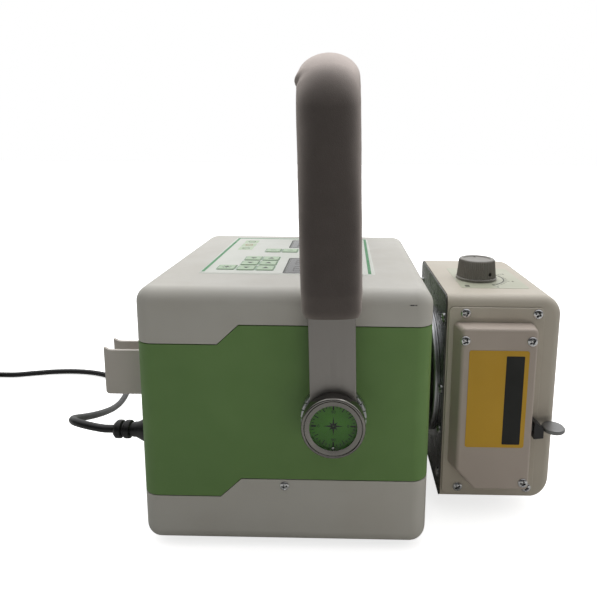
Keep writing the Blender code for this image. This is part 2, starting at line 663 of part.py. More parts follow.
def build_inside():
    inner_x = WALL + INSIDE_GAP
    chassis_top = CHASSIS_LIFT + CHASSIS_THICKNESS
    half_width = HALF_WIDTH - WALL - INSIDE_GAP
    front_x = BODY_LENGTH - WALL - VESSEL_FRONT_GAP
    tray = add_object("chassis_tray", outline_mesh("chassis_tray", [
        (-half_width, CHASSIS_LIFT + CHASSIS_FLANGE), (-half_width, CHASSIS_LIFT), (half_width, CHASSIS_LIFT),
        (half_width, CHASSIS_LIFT + CHASSIS_FLANGE),
        (half_width - CHASSIS_THICKNESS, CHASSIS_LIFT + CHASSIS_FLANGE),
        (half_width - CHASSIS_THICKNESS, chassis_top), (CHASSIS_THICKNESS - half_width, chassis_top),
        (CHASSIS_THICKNESS - half_width, CHASSIS_LIFT + CHASSIS_FLANGE),
    ], front_x - inner_x, "YZ"), ((front_x + inner_x) / 2, 0.0, 0.0))
    finish(tray, "steel")

    rear_x = front_x - VESSEL_LENGTH
    vessel_low = chassis_top + FIT
    vessel = box_part(
        "generator_vessel", (rear_x, -VESSEL_WIDTH / 2, vessel_low),
        (front_x, VESSEL_WIDTH / 2, vessel_low + VESSEL_HEIGHT), "satin_aluminium", 0.003)
    cut(vessel, box_cutter(
        "vessel_room", (rear_x + VESSEL_WALL, -VESSEL_WIDTH / 2 + VESSEL_WALL, vessel_low + VESSEL_WALL),
        (front_x - VESSEL_WALL, VESSEL_WIDTH / 2 - VESSEL_WALL, vessel_low + VESSEL_HEIGHT - VESSEL_WALL)))
    cut(vessel, hole_cutter("vessel_port", BEAM_PORT_RADIUS, (front_x, 0.0, BEAM_HEIGHT), "X"))
    tube_x = front_x - VESSEL_WALL - TUBE_RADIUS - FIT
    half = TUBE_LENGTH / 2
    neck = half * 0.62
    end = VESSEL_WIDTH / 2 - VESSEL_WALL - FIT
    finish(turned("xray_tube", [
        (0.0, end), (ELECTRODE_RADIUS, end), (ELECTRODE_RADIUS, half), (TUBE_NECK_RADIUS, half),
        (TUBE_NECK_RADIUS + 0.001, neck), (TUBE_RADIUS, neck * 0.72), (TUBE_RADIUS, -neck * 0.72),
        (TUBE_NECK_RADIUS + 0.001, -neck), (TUBE_NECK_RADIUS, -half), (ELECTRODE_RADIUS, -half),
        (ELECTRODE_RADIUS, -end), (0.0, -end),
    ], (tube_x, 0.0, BEAM_HEIGHT), "Y", steps=16), "clear")

    core_x = rear_x + VESSEL_WALL + FIT + TRANSFORMER_SIZE[0] / 2
    core_z = vessel_low + VESSEL_WALL + FIT + TRANSFORMER_SIZE[2] / 2
    core = add_object("high_voltage_transformer", box_mesh("high_voltage_transformer", TRANSFORMER_SIZE),
                      (core_x, 0.0, core_z))
    add_bevel(core, 0.003)
    winding = add_object(
        "transformer_winding", cylinder_mesh("transformer_winding", TRANSFORMER_SIZE[2] * 0.42,
                                             TRANSFORMER_SIZE[1] + 0.016, "Y"),
        (core_x, 0.0, core_z), cutter=True)
    cut(core, winding, "UNION")
    finish(core, "copper")

    board_rear = inner_x + BOARD_GAP
    board_low = chassis_top + FIT
    board_front = rear_x - BOARD_GAP
    board = box_part(
        "inverter_board", (board_rear, INVERTER_NEAR_Y, board_low),
        (board_front, INVERTER_FAR_Y, board_low + BOARD_THICKNESS), "board")
    # Each block's rear, front, near and far edge as shares of the board, its height as a share of the vessel's
    blocks = [(0.03, 0.19, 0.09, 0.27, 0.24), (0.03, 0.19, 0.41, 0.56, 0.19),
              (0.33, 0.47, 0.06, 0.72, 0.29), (0.69, 0.85, 0.22, 0.66, 0.16)]
    length = board_front - board_rear
    width = INVERTER_FAR_Y - INVERTER_NEAR_Y
    for index, (rear, front, near, far, tall) in enumerate(blocks):
        cut(board, box_cutter(
            f"board_block_{index}",
            (board_rear + length * rear, INVERTER_NEAR_Y + width * near, board_low + BOARD_THICKNESS / 2),
            (board_rear + length * front, INVERTER_NEAR_Y + width * far,
             board_low + BOARD_THICKNESS + VESSEL_HEIGHT * tall)), "UNION")
    finish(board, "board")

    board_top = BODY_HEIGHT - WALL - FIT
    box_part(
        "control_board", (PANEL_REAR_X + 0.002, PANEL_NEAR_Y + 0.004, board_top - CONTROL_BOARD_DEPTH),
        (PANEL_REAR_X + PANEL_LENGTH - 0.002, PANEL_NEAR_Y + PANEL_WIDTH - 0.004, board_top), "board", 0.001)


# Swivel and collimator

def build_swivel():
    """The collar is fixed in the front wall. The ring turns on it with the collimator."""
    ring_front = COLLIMATOR_REAR_X - REAR_PLATE_THICKNESS - FIT
    collar_length = SWIVEL_GAP + WALL + VESSEL_FRONT_GAP - FIT - REAR_PLATE_THICKNESS - 2 * FIT - RUNNING
    collar_rear = BODY_LENGTH - WALL - VESSEL_FRONT_GAP + FIT
    collar_front = collar_rear + collar_length
    flange_rear = BODY_LENGTH + FIT
    flange_front = flange_rear + 0.003
    collar = turned("beam_collar", [
        (COLLAR_BORE, collar_front - collar_rear), (COLLAR_RADIUS, collar_front - collar_rear),
        (COLLAR_RADIUS, flange_front - collar_rear), (COLLAR_RADIUS + 0.011, flange_front - collar_rear),
        (COLLAR_RADIUS + 0.011, flange_rear - collar_rear), (COLLAR_RADIUS, flange_rear - collar_rear),
        (COLLAR_RADIUS, 0.0), (COLLAR_BORE, 0.0),
    ], (collar_rear, 0.0, BEAM_HEIGHT), "X", steps=28)
    finish(collar, "black_plastic")
    thickness = SWIVEL_RING_THICKNESS
    ring = turned("swivel_ring", [
        (SWIVEL_RING_BORE, thickness), (SWIVEL_RING_RADIUS, thickness), (SWIVEL_RING_RADIUS, 0.0012),
        (SWIVEL_RING_RADIUS - 0.0012, 0.0), (SWIVEL_RING_BORE, 0.0),
    ], (ring_front - thickness, 0.0, BEAM_HEIGHT), "X", SWIVEL, steps=28)
    finish(ring, "satin_aluminium")


def collimator_outline(inset, edge_share=1.0):
    """The collimator seen from the side: round at the front corners and drawn in by an inset, less below."""
    lower = COLLIMATOR_LOWER_EDGE / COLLIMATOR_EDGE * edge_share + 1 - edge_share
    front = COLLIMATOR_FRONT_X - inset
    low = COLLIMATOR_BOTTOM + inset * lower
    high = COLLIMATOR_TOP - inset
    radius = COLLIMATOR_FRONT_RADIUS - inset
    points = [(COLLIMATOR_REAR_X, high), (COLLIMATOR_REAR_X, low)]
    for middle_z, start in ((low + radius, -90), (high - radius, 0)):
        for step in range(5):
            angle = math.radians(start + 22.5 * step)
            points.append((front - radius + radius * math.cos(angle), middle_z + radius * math.sin(angle)))
    return points


def collimator_form(name, inset=0.0, cutter=False):
    """The outer form, or one moved inward and open at the rear. Only its front and sides are round."""
    half = COLLIMATOR_HALF - inset
    edge = COLLIMATOR_EDGE - inset

    def build(work):
        rings = []
        for side in (-1, 1):
            for step in range(4):
                angle = math.radians(30 * step) if side < 0 else math.radians(90 - 30 * step)
                rim = edge * (1 - math.sin(angle))
                outline = collimator_outline(rim) if not inset else [
                    (x - (SPILL if x == COLLIMATOR_REAR_X else 0.0), z)
                    for x, z in collimator_outline(inset + rim, 0.0)]
                across = side * (half - edge + edge * math.cos(angle))
                rings.append([work.verts.new((x, across, z)) for x, z in outline])
        count = len(rings[0])
        for first, second in zip(rings, rings[1:]):
            for index in range(count):
                following = (index + 1) % count
                work.faces.new((first[index], first[following], second[following], second[index]))
        work.faces.new(rings[0])
        work.faces.new(rings[-1])

    mesh = mesh_from(name, build)
    parent = BODY if cutter else SWIVEL
    mesh.transform(Matrix.Translation(-Vector(parent["place"])))
    return add_object(name, mesh, parent["place"], parent, cutter)


def rear_plate_outline():
    """The rear plate as y and z: it fills the shell's open rear, with the same corners."""
    half = COLLIMATOR_HALF - REAR_PLATE_INSET
    low = COLLIMATOR_BOTTOM + REAR_PLATE_INSET
    high = COLLIMATOR_TOP - REAR_PLATE_INSET
    points = [(-half, low), (half, low)]
    for side, start in ((1, 0), (-1, 90)):
        for step in range(5):
            angle = math.radians(start + 22.5 * step)
            points.append((side * (half - COLLIMATOR_EDGE) + COLLIMATOR_EDGE * math.cos(angle),
                           high - COLLIMATOR_EDGE + COLLIMATOR_EDGE * math.sin(angle)))
    return points


def build_collimator():
    shell = collimator_form("collimator_shell")
    room = collimator_form("collimator_room", COLLIMATOR_WALL, cutter=True)
    cut(shell, room)
    half_window = WINDOW_SIZE / 2
    opening = half_window - WINDOW_LIP
    seat = half_window + FIT
    cut(shell, box_cutter(
        "window_opening", (COLLIMATOR_FRONT_X - SPILL, -opening, BEAM_HEIGHT - opening),
        (COLLIMATOR_FRONT_X + SPILL, opening, BEAM_HEIGHT + opening)))
    cut(shell, box_cutter(
        "window_seat", (COLLIMATOR_FRONT_X - WINDOW_SEAT, -seat, BEAM_HEIGHT - seat),
        (COLLIMATOR_FRONT_X + SPILL, seat, BEAM_HEIGHT + seat)))
    shaft_hole = KNOB_SHAFT_RADIUS + RUNNING
    cut(shell, hole_cutter("top_shaft_hole", shaft_hole, (KNOB_X, KNOB_Y, COLLIMATOR_TOP), "Z", steps=12))
    cut(shell, hole_cutter(
        "far_shaft_hole", shaft_hole, (KNOB_X, COLLIMATOR_HALF, BEAM_HEIGHT), "Y", steps=12))
    for index, (across, high) in enumerate(side_plate_screws()):
        cut(shell, hole_cutter(
            f"side_screw_hole_{index}", COLLIMATOR_SCREW_SHANK + FIT,
            (across, -COLLIMATOR_HALF, high), "Y", steps=8))
    finish(shell, "collimator_cream")

    thickness = REAR_PLATE_THICKNESS - FIT
    plate = add_object(
        "collimator_rear_plate", outline_mesh("collimator_rear_plate", rear_plate_outline(), thickness, "YZ"),
        (COLLIMATOR_REAR_X - FIT - thickness / 2, 0.0, 0.0), SWIVEL)
    cut(plate, hole_cutter("rear_plate_port", COLLAR_BORE, (COLLIMATOR_REAR_X, 0.0, BEAM_HEIGHT), "X"))
    for index, (side, high) in enumerate(rear_plate_screws()):
        cut(plate, hole_cutter(
            f"rear_screw_hole_{index}", COLLIMATOR_SCREW_SHANK + FIT,
            (COLLIMATOR_REAR_X, side, high), "X", steps=8))
    finish(plate, "steel")

    window_rear = COLLIMATOR_FRONT_X - WINDOW_SEAT + FIT
    box_part(
        "front_window", (window_rear, -half_window, BEAM_HEIGHT - half_window),
        (window_rear + WINDOW_THICKNESS, half_window, BEAM_HEIGHT + half_window), "clear", 0.0004, SWIVEL, 1)


def side_plate_screws():
    """Places of the near side plate's corner screws as x and z."""
    low = SIDE_PLATE_BOTTOM + SIDE_SCREW_LOW
    high = SIDE_PLATE_BOTTOM + SIDE_PLATE_HEIGHT - SIDE_SCREW_HIGH
    rear = COLLIMATOR_REAR_X + SIDE_SCREW_SETBACK
    front = rear + SIDE_SCREW_SPACING
    return [(rear, low), (front, low), (rear, high), (front, high)]


def rear_plate_screws():
    """Places of the rear plate's screws as y and z."""
    half = COLLIMATOR_HALF - REAR_SCREW_INSET
    return [(side * half, BEAM_HEIGHT + offset) for side in (-1, 1) for offset in REAR_SCREW_OFFSETS]


def side_box_screws():
    return [
        (SIDE_BOX_REAR_X + BOX_SCREW_REAR, SIDE_BOX_BOTTOM + SIDE_BOX_HEIGHT - BOX_SCREW_TOP),
        (SIDE_BOX_FRONT_X - BOX_SCREW_FRONT, SIDE_BOX_BOTTOM + SIDE_BOX_HEIGHT - BOX_SCREW_TOP),
        (SIDE_BOX_FRONT_X - BOX_SCREW_FRONT, SIDE_BOX_BOTTOM + BOX_SCREW_BOTTOM),
    ]


def side_box_outline(inset):
    """The side box seen from the near side, with its lower rear corner cut off."""
    rear = SIDE_BOX_REAR_X + inset
    front = SIDE_BOX_FRONT_X - inset
    bottom = SIDE_BOX_BOTTOM + inset
    top = SIDE_BOX_BOTTOM + SIDE_BOX_HEIGHT - inset
    radius = SIDE_BOX_CORNER
    cut_off = SIDE_BOX_CUT - inset * 0.4
    points = [(rear + cut_off, bottom), (front - radius, bottom)]
    points += [(front - radius * (1 - math.sin(a)), bottom + radius * (1 - math.cos(a)))
               for a in (math.pi / 6, math.pi / 3, math.pi / 2)]
    points += [(front - radius * (1 - math.cos(a)), top - radius * (1 - math.sin(a)))
               for a in (0.0, math.pi / 6, math.pi / 3, math.pi / 2)]
    points += [(rear + radius * (1 - math.sin(a)), top - radius * (1 - math.cos(a)))
               for a in (0.0, math.pi / 6, math.pi / 3, math.pi / 2)]
    points += [(rear, bottom + cut_off)]
    return points


def drafted_block(name, depth, rear_draft, inset, base_y, cutter=False, parent=None):
    """A block whose outline shrinks towards its outer face, most at the rear."""
    base = side_box_outline(inset)
    face = side_box_outline(inset + SIDE_BOX_DRAFT * 0.35)
    rear_limit = SIDE_BOX_REAR_X + inset
    length = SIDE_BOX_LENGTH - 2 * inset

    def build(work):
        inner = [work.verts.new((x, base_y, z)) for x, z in base]
        outer = []
        for x, z in face:
            share = 1 - (x - rear_limit) / length
            outer.append(work.verts.new((x + rear_draft * max(share, 0.0) ** 2, base_y - depth, z)))
        count = len(inner)
        for index in range(count):
            following = (index + 1) % count
            work.faces.new((inner[index], inner[following], outer[following], outer[index]))
        work.faces.new(inner)
        work.faces.new(outer)

    origin = Vector((parent or BODY)["place"])
    mesh = mesh_from(name, build)
    mesh.transform(Matrix.Translation(-origin))
    return add_object(name, mesh, origin, parent, cutter)


def build_side_fittings():
    plate_outer = -COLLIMATOR_HALF - FIT - SIDE_PLATE_THICKNESS
    plate = add_object("side_plate", outline_mesh("side_plate", rounded_rectangle(
        (COLLIMATOR_REAR_X + SIDE_PLATE_SETBACK, SIDE_PLATE_BOTTOM),
        (COLLIMATOR_REAR_X + SIDE_PLATE_SETBACK + SIDE_PLATE_LENGTH, SIDE_PLATE_BOTTOM + SIDE_PLATE_HEIGHT),
        SIDE_PLATE_CORNER), SIDE_PLATE_THICKNESS, "XZ"),
        (0.0, -COLLIMATOR_HALF - FIT - SIDE_PLATE_THICKNESS / 2, 0.0), SWIVEL)
    for index, (across, high) in enumerate(side_plate_screws()):
        cut(plate, hole_cutter(
            f"plate_screw_hole_{index}", COLLIMATOR_SCREW_SHANK + FIT,
            (across, plate_outer, high), "Y", steps=8))
    for index, (across, high) in enumerate(side_box_screws()):
        cut(plate, hole_cutter(
            f"plate_box_screw_hole_{index}", COLLIMATOR_SCREW_SHANK + FIT,
            (across, plate_outer, high), "Y", steps=8))
    finish(plate, "collimator_cream")

    box = drafted_block("side_box", SIDE_BOX_DEPTH, 0.006, 0.0, plate_outer - FIT, parent=SWIVEL)
    add_bevel(box, 0.0022, 2, 30)
    room = drafted_block(
        "side_box_room", SIDE_BOX_DEPTH, 0.006, SIDE_BOX_WALL, plate_outer - FIT + SIDE_BOX_WALL, cutter=True)
    cut(box, room)
    mouth_wide = TAPE_BLADE_THICKNESS / 2 + 4 * RUNNING
    mouth_tall = TAPE_BLADE_HEIGHT / 2 + 4 * RUNNING
    cut(box, box_cutter(
        "tape_mouth", (SIDE_BOX_FRONT_X - SPILL / 2, TAPE_Y - mouth_wide, TAPE_HEIGHT - mouth_tall),
        (SIDE_BOX_FRONT_X + SPILL, TAPE_Y + mouth_wide, TAPE_HEIGHT + mouth_tall)))
    pillar_length = SIDE_BOX_DEPTH - SIDE_BOX_WALL / 2
    for index, (across, high) in enumerate(side_box_screws()):
        cut(box, hole_cutter(
            f"side_box_pillar_{index}", SIDE_BOX_PILLAR_RADIUS,
            (across, plate_outer - FIT - pillar_length / 2, high), "Y", pillar_length, 12), "UNION")
        cut(box, hole_cutter(
            f"side_box_hole_{index}", COLLIMATOR_SCREW_SHANK + FIT,
            (across, plate_outer - SIDE_BOX_DEPTH / 2, high), "Y", steps=8))
    finish(box, "collimator_cream", 40)

    outlet_rear = SIDE_BOX_FRONT_X + FIT
    reach = TAPE_OUTLET_LENGTH
    outlet = add_object("tape_outlet", outline_mesh("tape_outlet", [
        (outlet_rear, TAPE_HEIGHT - reach), (outlet_rear + reach, TAPE_HEIGHT - reach * 0.88),
        (outlet_rear + reach, TAPE_HEIGHT + reach * 0.12),
        (outlet_rear + reach * 0.30, TAPE_HEIGHT + reach * 0.76), (outlet_rear, TAPE_HEIGHT + reach * 0.82),
    ], TAPE_OUTLET_WIDTH, "XZ"), (0.0, TAPE_Y + TAPE_OUTLET_SHIFT, 0.0), SWIVEL)
    cut(outlet, box_cutter(
        "outlet_slot", (outlet_rear - SPILL, TAPE_Y - TAPE_BLADE_THICKNESS / 2 - RUNNING,
                        TAPE_HEIGHT - TAPE_BLADE_HEIGHT / 2 - RUNNING),
        (outlet_rear + SPILL, TAPE_Y + TAPE_BLADE_THICKNESS / 2 + RUNNING,
         TAPE_HEIGHT + TAPE_BLADE_HEIGHT / 2 + RUNNING)))
    finish(outlet, "black_plastic")

    tab = add_object(
        "tape_tab", cylinder_mesh("tape_tab", TAPE_TAB_RADIUS, TAPE_TAB_THICKNESS, "Z", 24),
        (TAPE_TAB_X, TAPE_Y, TAPE_HEIGHT), TAPE)
    add_bevel(tab, 0.0008)
    stop = outlet_rear + TAPE_OUTLET_LENGTH + FIT
    half_blade = TAPE_BLADE_THICKNESS / 2
    cut(tab, box_cutter(
        "tape_blade_form",
        (stop - TAPE_BLADE_LENGTH, TAPE_Y - half_blade, TAPE_HEIGHT - TAPE_BLADE_HEIGHT / 2),
        (TAPE_TAB_X, TAPE_Y + half_blade, TAPE_HEIGHT + TAPE_BLADE_HEIGHT / 2)), "UNION")
    cut(tab, box_cutter(
        "tab_relief_near", (stop - SPILL, TAPE_Y - SPILL, TAPE_HEIGHT - SPILL),
        (stop, TAPE_Y - half_blade, TAPE_HEIGHT + SPILL)))
    cut(tab, box_cutter(
        "tab_relief_far", (stop - SPILL, TAPE_Y + half_blade, TAPE_HEIGHT - SPILL),
        (stop, TAPE_Y + SPILL, TAPE_HEIGHT + SPILL)))
    finish(tab, "satin_aluminium")


def build_beam_shutters():
    """A guide plate with two pairs of blades, the light and its mirror."""
    half_y = COLLIMATOR_HALF - COLLIMATOR_WALL - FIT
    low = COLLIMATOR_BOTTOM + COLLIMATOR_WALL + FIT
    high = COLLIMATOR_TOP - COLLIMATOR_WALL - FIT
    guide = add_object("blade_guide", outline_mesh(
        "blade_guide", rounded_rectangle(
            (-half_y, low), (half_y, high), COLLIMATOR_EDGE - COLLIMATOR_WALL + RUNNING),
            GUIDE_THICKNESS, "YZ"),
        (GUIDE_X, 0.0, 0.0), SWIVEL)
    half = APERTURE_SIZE / 2
    cut(guide, box_cutter(
        "aperture", (GUIDE_X - SPILL, -half, BEAM_HEIGHT - half),
        (GUIDE_X + SPILL, half, BEAM_HEIGHT + half)))
    finish(guide, "steel")
    rear_x = GUIDE_X - GUIDE_THICKNESS / 2 - FIT - BLADE_THICKNESS
    front_x = GUIDE_X + GUIDE_THICKNESS / 2 + FIT
    opening = BLADE_OPENING
    for name, side, empty in (("near_blade", -1, NEAR_BLADE), ("far_blade", 1, FAR_BLADE)):
        edges = sorted((side * opening, side * (opening + BLADE_LENGTH)))
        box_part(name, (rear_x, edges[0], BEAM_HEIGHT - BLADE_WIDTH / 2),
                 (rear_x + BLADE_THICKNESS, edges[1], BEAM_HEIGHT + BLADE_WIDTH / 2),
                 "steel", 0.0003, empty, 1)
    for name, side, empty in (("lower_blade", -1, LOWER_BLADE), ("upper_blade", 1, UPPER_BLADE)):
        edges = sorted((side * opening, side * (opening + BLADE_LENGTH)))
        box_part(name, (front_x, -BLADE_WIDTH / 2, BEAM_HEIGHT + edges[0]),
                 (front_x + BLADE_THICKNESS, BLADE_WIDTH / 2, BEAM_HEIGHT + edges[1]),
                 "steel", 0.0003, empty, 1)

    slope = math.pi / 4
    mirror_reach = (MIRROR_LENGTH * math.cos(slope) + MIRROR_THICKNESS * math.sin(slope)) / 2
    mirror_x = COLLIMATOR_REAR_X + FIT + mirror_reach
    mirror_size = (MIRROR_LENGTH, MIRROR_WIDTH, MIRROR_THICKNESS)
    mirror = add_object(
        "light_mirror", box_mesh("light_mirror", mirror_size), (mirror_x, 0.0, BEAM_HEIGHT), SWIVEL)
    mirror.rotation_euler = (0.0, -slope, 0.0)
    finish(mirror, "chrome")
    shelf_top = BEAM_HEIGHT - LAMP_SHELF_DROP
    thick = LAMP_SHELF_THICKNESS
    shelf = add_object("field_light", outline_mesh("field_light", [
        (0.0, shelf_top - LAMP_SHELF_TALL), (0.0, shelf_top), (LAMP_SHELF_LENGTH, shelf_top),
        (LAMP_SHELF_LENGTH, shelf_top - thick), (thick, shelf_top - thick),
        (thick, shelf_top - LAMP_SHELF_TALL),
    ], LAMP_SHELF_WIDTH, "XZ"), (COLLIMATOR_REAR_X + FIT, 0.0, 0.0), SWIVEL)
    flange = LAMP_RADIUS * 1.22
    seat = LAMP_HEIGHT * 0.19
    lamp = turned("field_lamp", [
        (0.0, LAMP_HEIGHT), (LAMP_RADIUS * 0.67, LAMP_HEIGHT), (LAMP_RADIUS, LAMP_HEIGHT * 0.75),
        (LAMP_RADIUS, seat), (flange, seat), (flange, -thick / 2), (0.0, -thick / 2),
    ], (mirror_x, 0.0, shelf_top), "Z", SWIVEL, 16, cutter=True)
    cut(shelf, lamp, "UNION")
    finish(shelf, "steel")


def knob_profile(height):
    """Radius of the knob's side at a height above its seat."""
    if height < KNOB_SKIRT:
        return KNOB_BASE_RADIUS
    share = (height - KNOB_SKIRT) / (KNOB_HEIGHT - KNOB_SKIRT)
    return KNOB_BASE_RADIUS - 0.0006 + (KNOB_TOP_RADIUS - KNOB_BASE_RADIUS + 0.0006) * share


def build_knob(name, empty, direction):
    """A fluted knob on its shaft, with a plain skirt and a recessed cap."""
    sides = KNOB_RIBS * 2
    levels = [(0.0, 0.0), (KNOB_SKIRT, 0.0), (KNOB_SKIRT, 1.0)]

    def ring_points(work, height, depth, shrink):
        ring = []
        for side in range(sides):
            angle = 2 * math.pi * side / sides
            groove = KNOB_RIB_DEPTH * depth if side % 2 else 0.0
            radius = knob_profile(height + (0.00001 if depth else 0.0)) - groove - shrink
            ring.append(work.verts.new((radius * math.cos(angle), radius * math.sin(angle), height)))
        return ring

    def build(work):
        rings = [ring_points(work, height, depth, 0.0) for height, depth in levels]
        rings.append(ring_points(work, KNOB_HEIGHT, 0.6, KNOB_CAP_DEPTH))
        for radius, height in ((KNOB_CAP_RADIUS, KNOB_HEIGHT),
                               (KNOB_CAP_RADIUS - KNOB_CAP_DEPTH, KNOB_HEIGHT - KNOB_CAP_DEPTH)):
            turns = [2 * math.pi * side / sides for side in range(sides)]
            rings.append([
                work.verts.new((radius * math.cos(turn), radius * math.sin(turn), height)) for turn in turns])
        for lower, upper in zip(rings, rings[1:]):
            for side in range(sides):
                following = (side + 1) % sides
                work.faces.new((lower[side], lower[following], upper[following], upper[side]))
        work.faces.new(rings[0])
        work.faces.new(rings[-1])

    knob = add_object(name, mesh_from(name, build), empty["place"], empty)
    shaft = hole_cutter(name + "_shaft", KNOB_SHAFT_RADIUS, (0, 0, 0), "Z", KNOB_SHAFT_LENGTH, 16)
    shaft.parent = knob
    shaft.location = (0, 0, KNOB_CAP_DEPTH - KNOB_SHAFT_LENGTH / 2)
    cut(knob, shaft, "UNION")
    set_screw = hole_cutter(name + "_set_screw", SET_SCREW_RADIUS, (0, 0, 0), "Y", KNOB_TOP_RADIUS / 2, 12)
    set_screw.parent = knob
    set_screw.location = (
        KNOB_TOP_RADIUS * math.sin(SET_SCREW_TURN), -KNOB_TOP_RADIUS * math.cos(SET_SCREW_TURN),
        SET_SCREW_HEIGHT)
    set_screw.rotation_euler = (0, 0, SET_SCREW_TURN)
    cut(knob, set_screw)
    if direction == "Y":
        knob.rotation_euler = (-math.pi / 2, 0, 0)
    return finish(knob, "knob_grey", 30)


# Handle and its dials

def wall_axis(side):
    """The outward axis of a turned piece on the near or far wall."""
    return "Y" if side > 0 else "-Y"


def build_detent_ring(prefix, side):
    """A ring fixed to the wall, with notches round its outer face."""
    place = (PIVOT_X, side * HALF_WIDTH, PIVOT_HEIGHT)
    ring = turned(f"{prefix}_detent_ring", [
        (STUD_RADIUS + FIT, DETENT_RING_THICKNESS), (DETENT_RING_RADIUS - 0.0006, DETENT_RING_THICKNESS),
        (DETENT_RING_RADIUS, DETENT_RING_THICKNESS - 0.0006), (DETENT_RING_RADIUS, FIT),
        (STUD_RADIUS + FIT, FIT),
    ], place, wall_axis(side), steps=DETENT_COUNT)

    def notches(work):
        for index in range(DETENT_COUNT):
            angle = 2 * math.pi * (index + 0.5) / DETENT_COUNT
            middle = Matrix.Translation((DETENT_RING_RADIUS, 0, DETENT_RING_THICKNESS))
            size = Matrix.Diagonal((2 * NOTCH_DEPTH, NOTCH_WIDTH, NOTCH_DEPTH * 1.2, 1.0))
            bmesh.ops.create_cube(work, size=1.0, matrix=Matrix.Rotation(angle, 4, "Z") @ middle @ size)

    cutter = add_object(f"{prefix}_notches", mesh_from(f"{prefix}_notches", notches), place, cutter=True)
    cutter.rotation_euler = ring.rotation_euler
    cut(ring, cutter)
    finish(ring, "satin_aluminium")


def build_hub(prefix, side, ball_empty):
    """The cap with the stud it turns on, the steel level ball and the clear lens."""
    place = (PIVOT_X, side * HALF_WIDTH, PIVOT_HEIGHT)
    axis = wall_axis(side)
    lens_low = CAP_OUTER - LENS_SETBACK - LENS_THICKNESS
    dial_seat = lens_low - 2 * LEVEL_BALL_RADIUS - 2 * FIT - DIAL_THICKNESS
    rim = DIAL_RECESS_RADIUS
    stud_end = -WALL - STUD_PAST_WALL
    finish(turned(f"{prefix}_hub_cap", [
        (0.0, dial_seat), (rim, dial_seat), (rim, CAP_OUTER - 0.0008), (rim + 0.0022, CAP_OUTER - 0.0002),
        (rim + 0.0028, CAP_OUTER - 0.0012), (rim + 0.0034, CAP_OUTER), (HUB_CAP_RADIUS - 0.0010, CAP_OUTER),
        (HUB_CAP_RADIUS, CAP_OUTER - 0.0012), (HUB_CAP_RADIUS, CAP_INNER), (STUD_RADIUS, CAP_INNER),
        (STUD_RADIUS, stud_end), (0.0, stud_end),
    ], place, axis, steps=28), "satin_aluminium")
    finish(turned(f"{prefix}_lens", [
        (0.0, lens_low + LENS_THICKNESS), (rim - FIT, lens_low + LENS_THICKNESS), (rim - FIT, lens_low),
        (0.0, lens_low)], place, axis, steps=24), "clear")
    ball_middle = side * (dial_seat + DIAL_THICKNESS + FIT + LEVEL_BALL_RADIUS)
    ball_drop = rim - FIT - LEVEL_BALL_RADIUS
    ball = mesh_from(f"{prefix}_level_ball", lambda work: bmesh.ops.create_uvsphere(
        work, u_segments=10, v_segments=6, radius=LEVEL_BALL_RADIUS,
        matrix=Matrix.Translation((0.0, ball_middle, -ball_drop))))
    finish(add_object(f"{prefix}_level_ball", ball, ball_empty["place"], ball_empty), "chrome")


def handle_path():
    """Middle line of the strap from the near pivot over the top, as y, z and outward normal."""
    half = HALF_WIDTH + STRAP_MIDDLE
    top = HANDLE_REACH - FOAM_HALF_THICKNESS
    radius = HANDLE_BEND_RADIUS
    points = []
    for step in range(7):
        high = FOAM_START + (top - radius - FOAM_START) * (step / 6) ** 1.3
        points.append((-half, high, -1.0, 0.0))
    for step in range(1, 7):
        angle = math.radians(90 * step / 6)
        points.append((-half + radius - radius * math.cos(angle), top - radius + radius * math.sin(angle),
                       -math.cos(angle), math.sin(angle)))
    across = half - radius
    points.append((-across / 2, top, 0.0, 1.0))
    mirrored = [(-y, z, -ny, nz) for y, z, ny, nz in reversed(points)]
    return points + [(0.0, top, 0.0, 1.0)] + mirrored


def foam_section(high, on_top):
    """Half width, outer and inner half thickness of the grip at a height on the arm."""
    blend_in = min(max((high - FOAM_START) / FOAM_END_LENGTH, 0.0), 1.0)
    rise = min(max((high - FOAM_SWELL_START) / FOAM_SWELL_LENGTH, 0.0), 1.0)
    rise = rise * rise * (3 - 2 * rise)
    half_width = FOAM_END_HALF_WIDTH + (FOAM_HALF_WIDTH - FOAM_END_HALF_WIDTH) * blend_in
    outer = FOAM_END_HALF_THICKNESS + (FOAM_ARM_HALF_THICKNESS - FOAM_END_HALF_THICKNESS) * blend_in
    outer = outer + (FOAM_HALF_THICKNESS - outer) * rise
    inner = FOAM_END_HALF_THICKNESS + (FOAM_INNER_HALF_THICKNESS - FOAM_END_HALF_THICKNESS) * rise
    return half_width, outer, FOAM_INNER_HALF_THICKNESS if on_top else inner


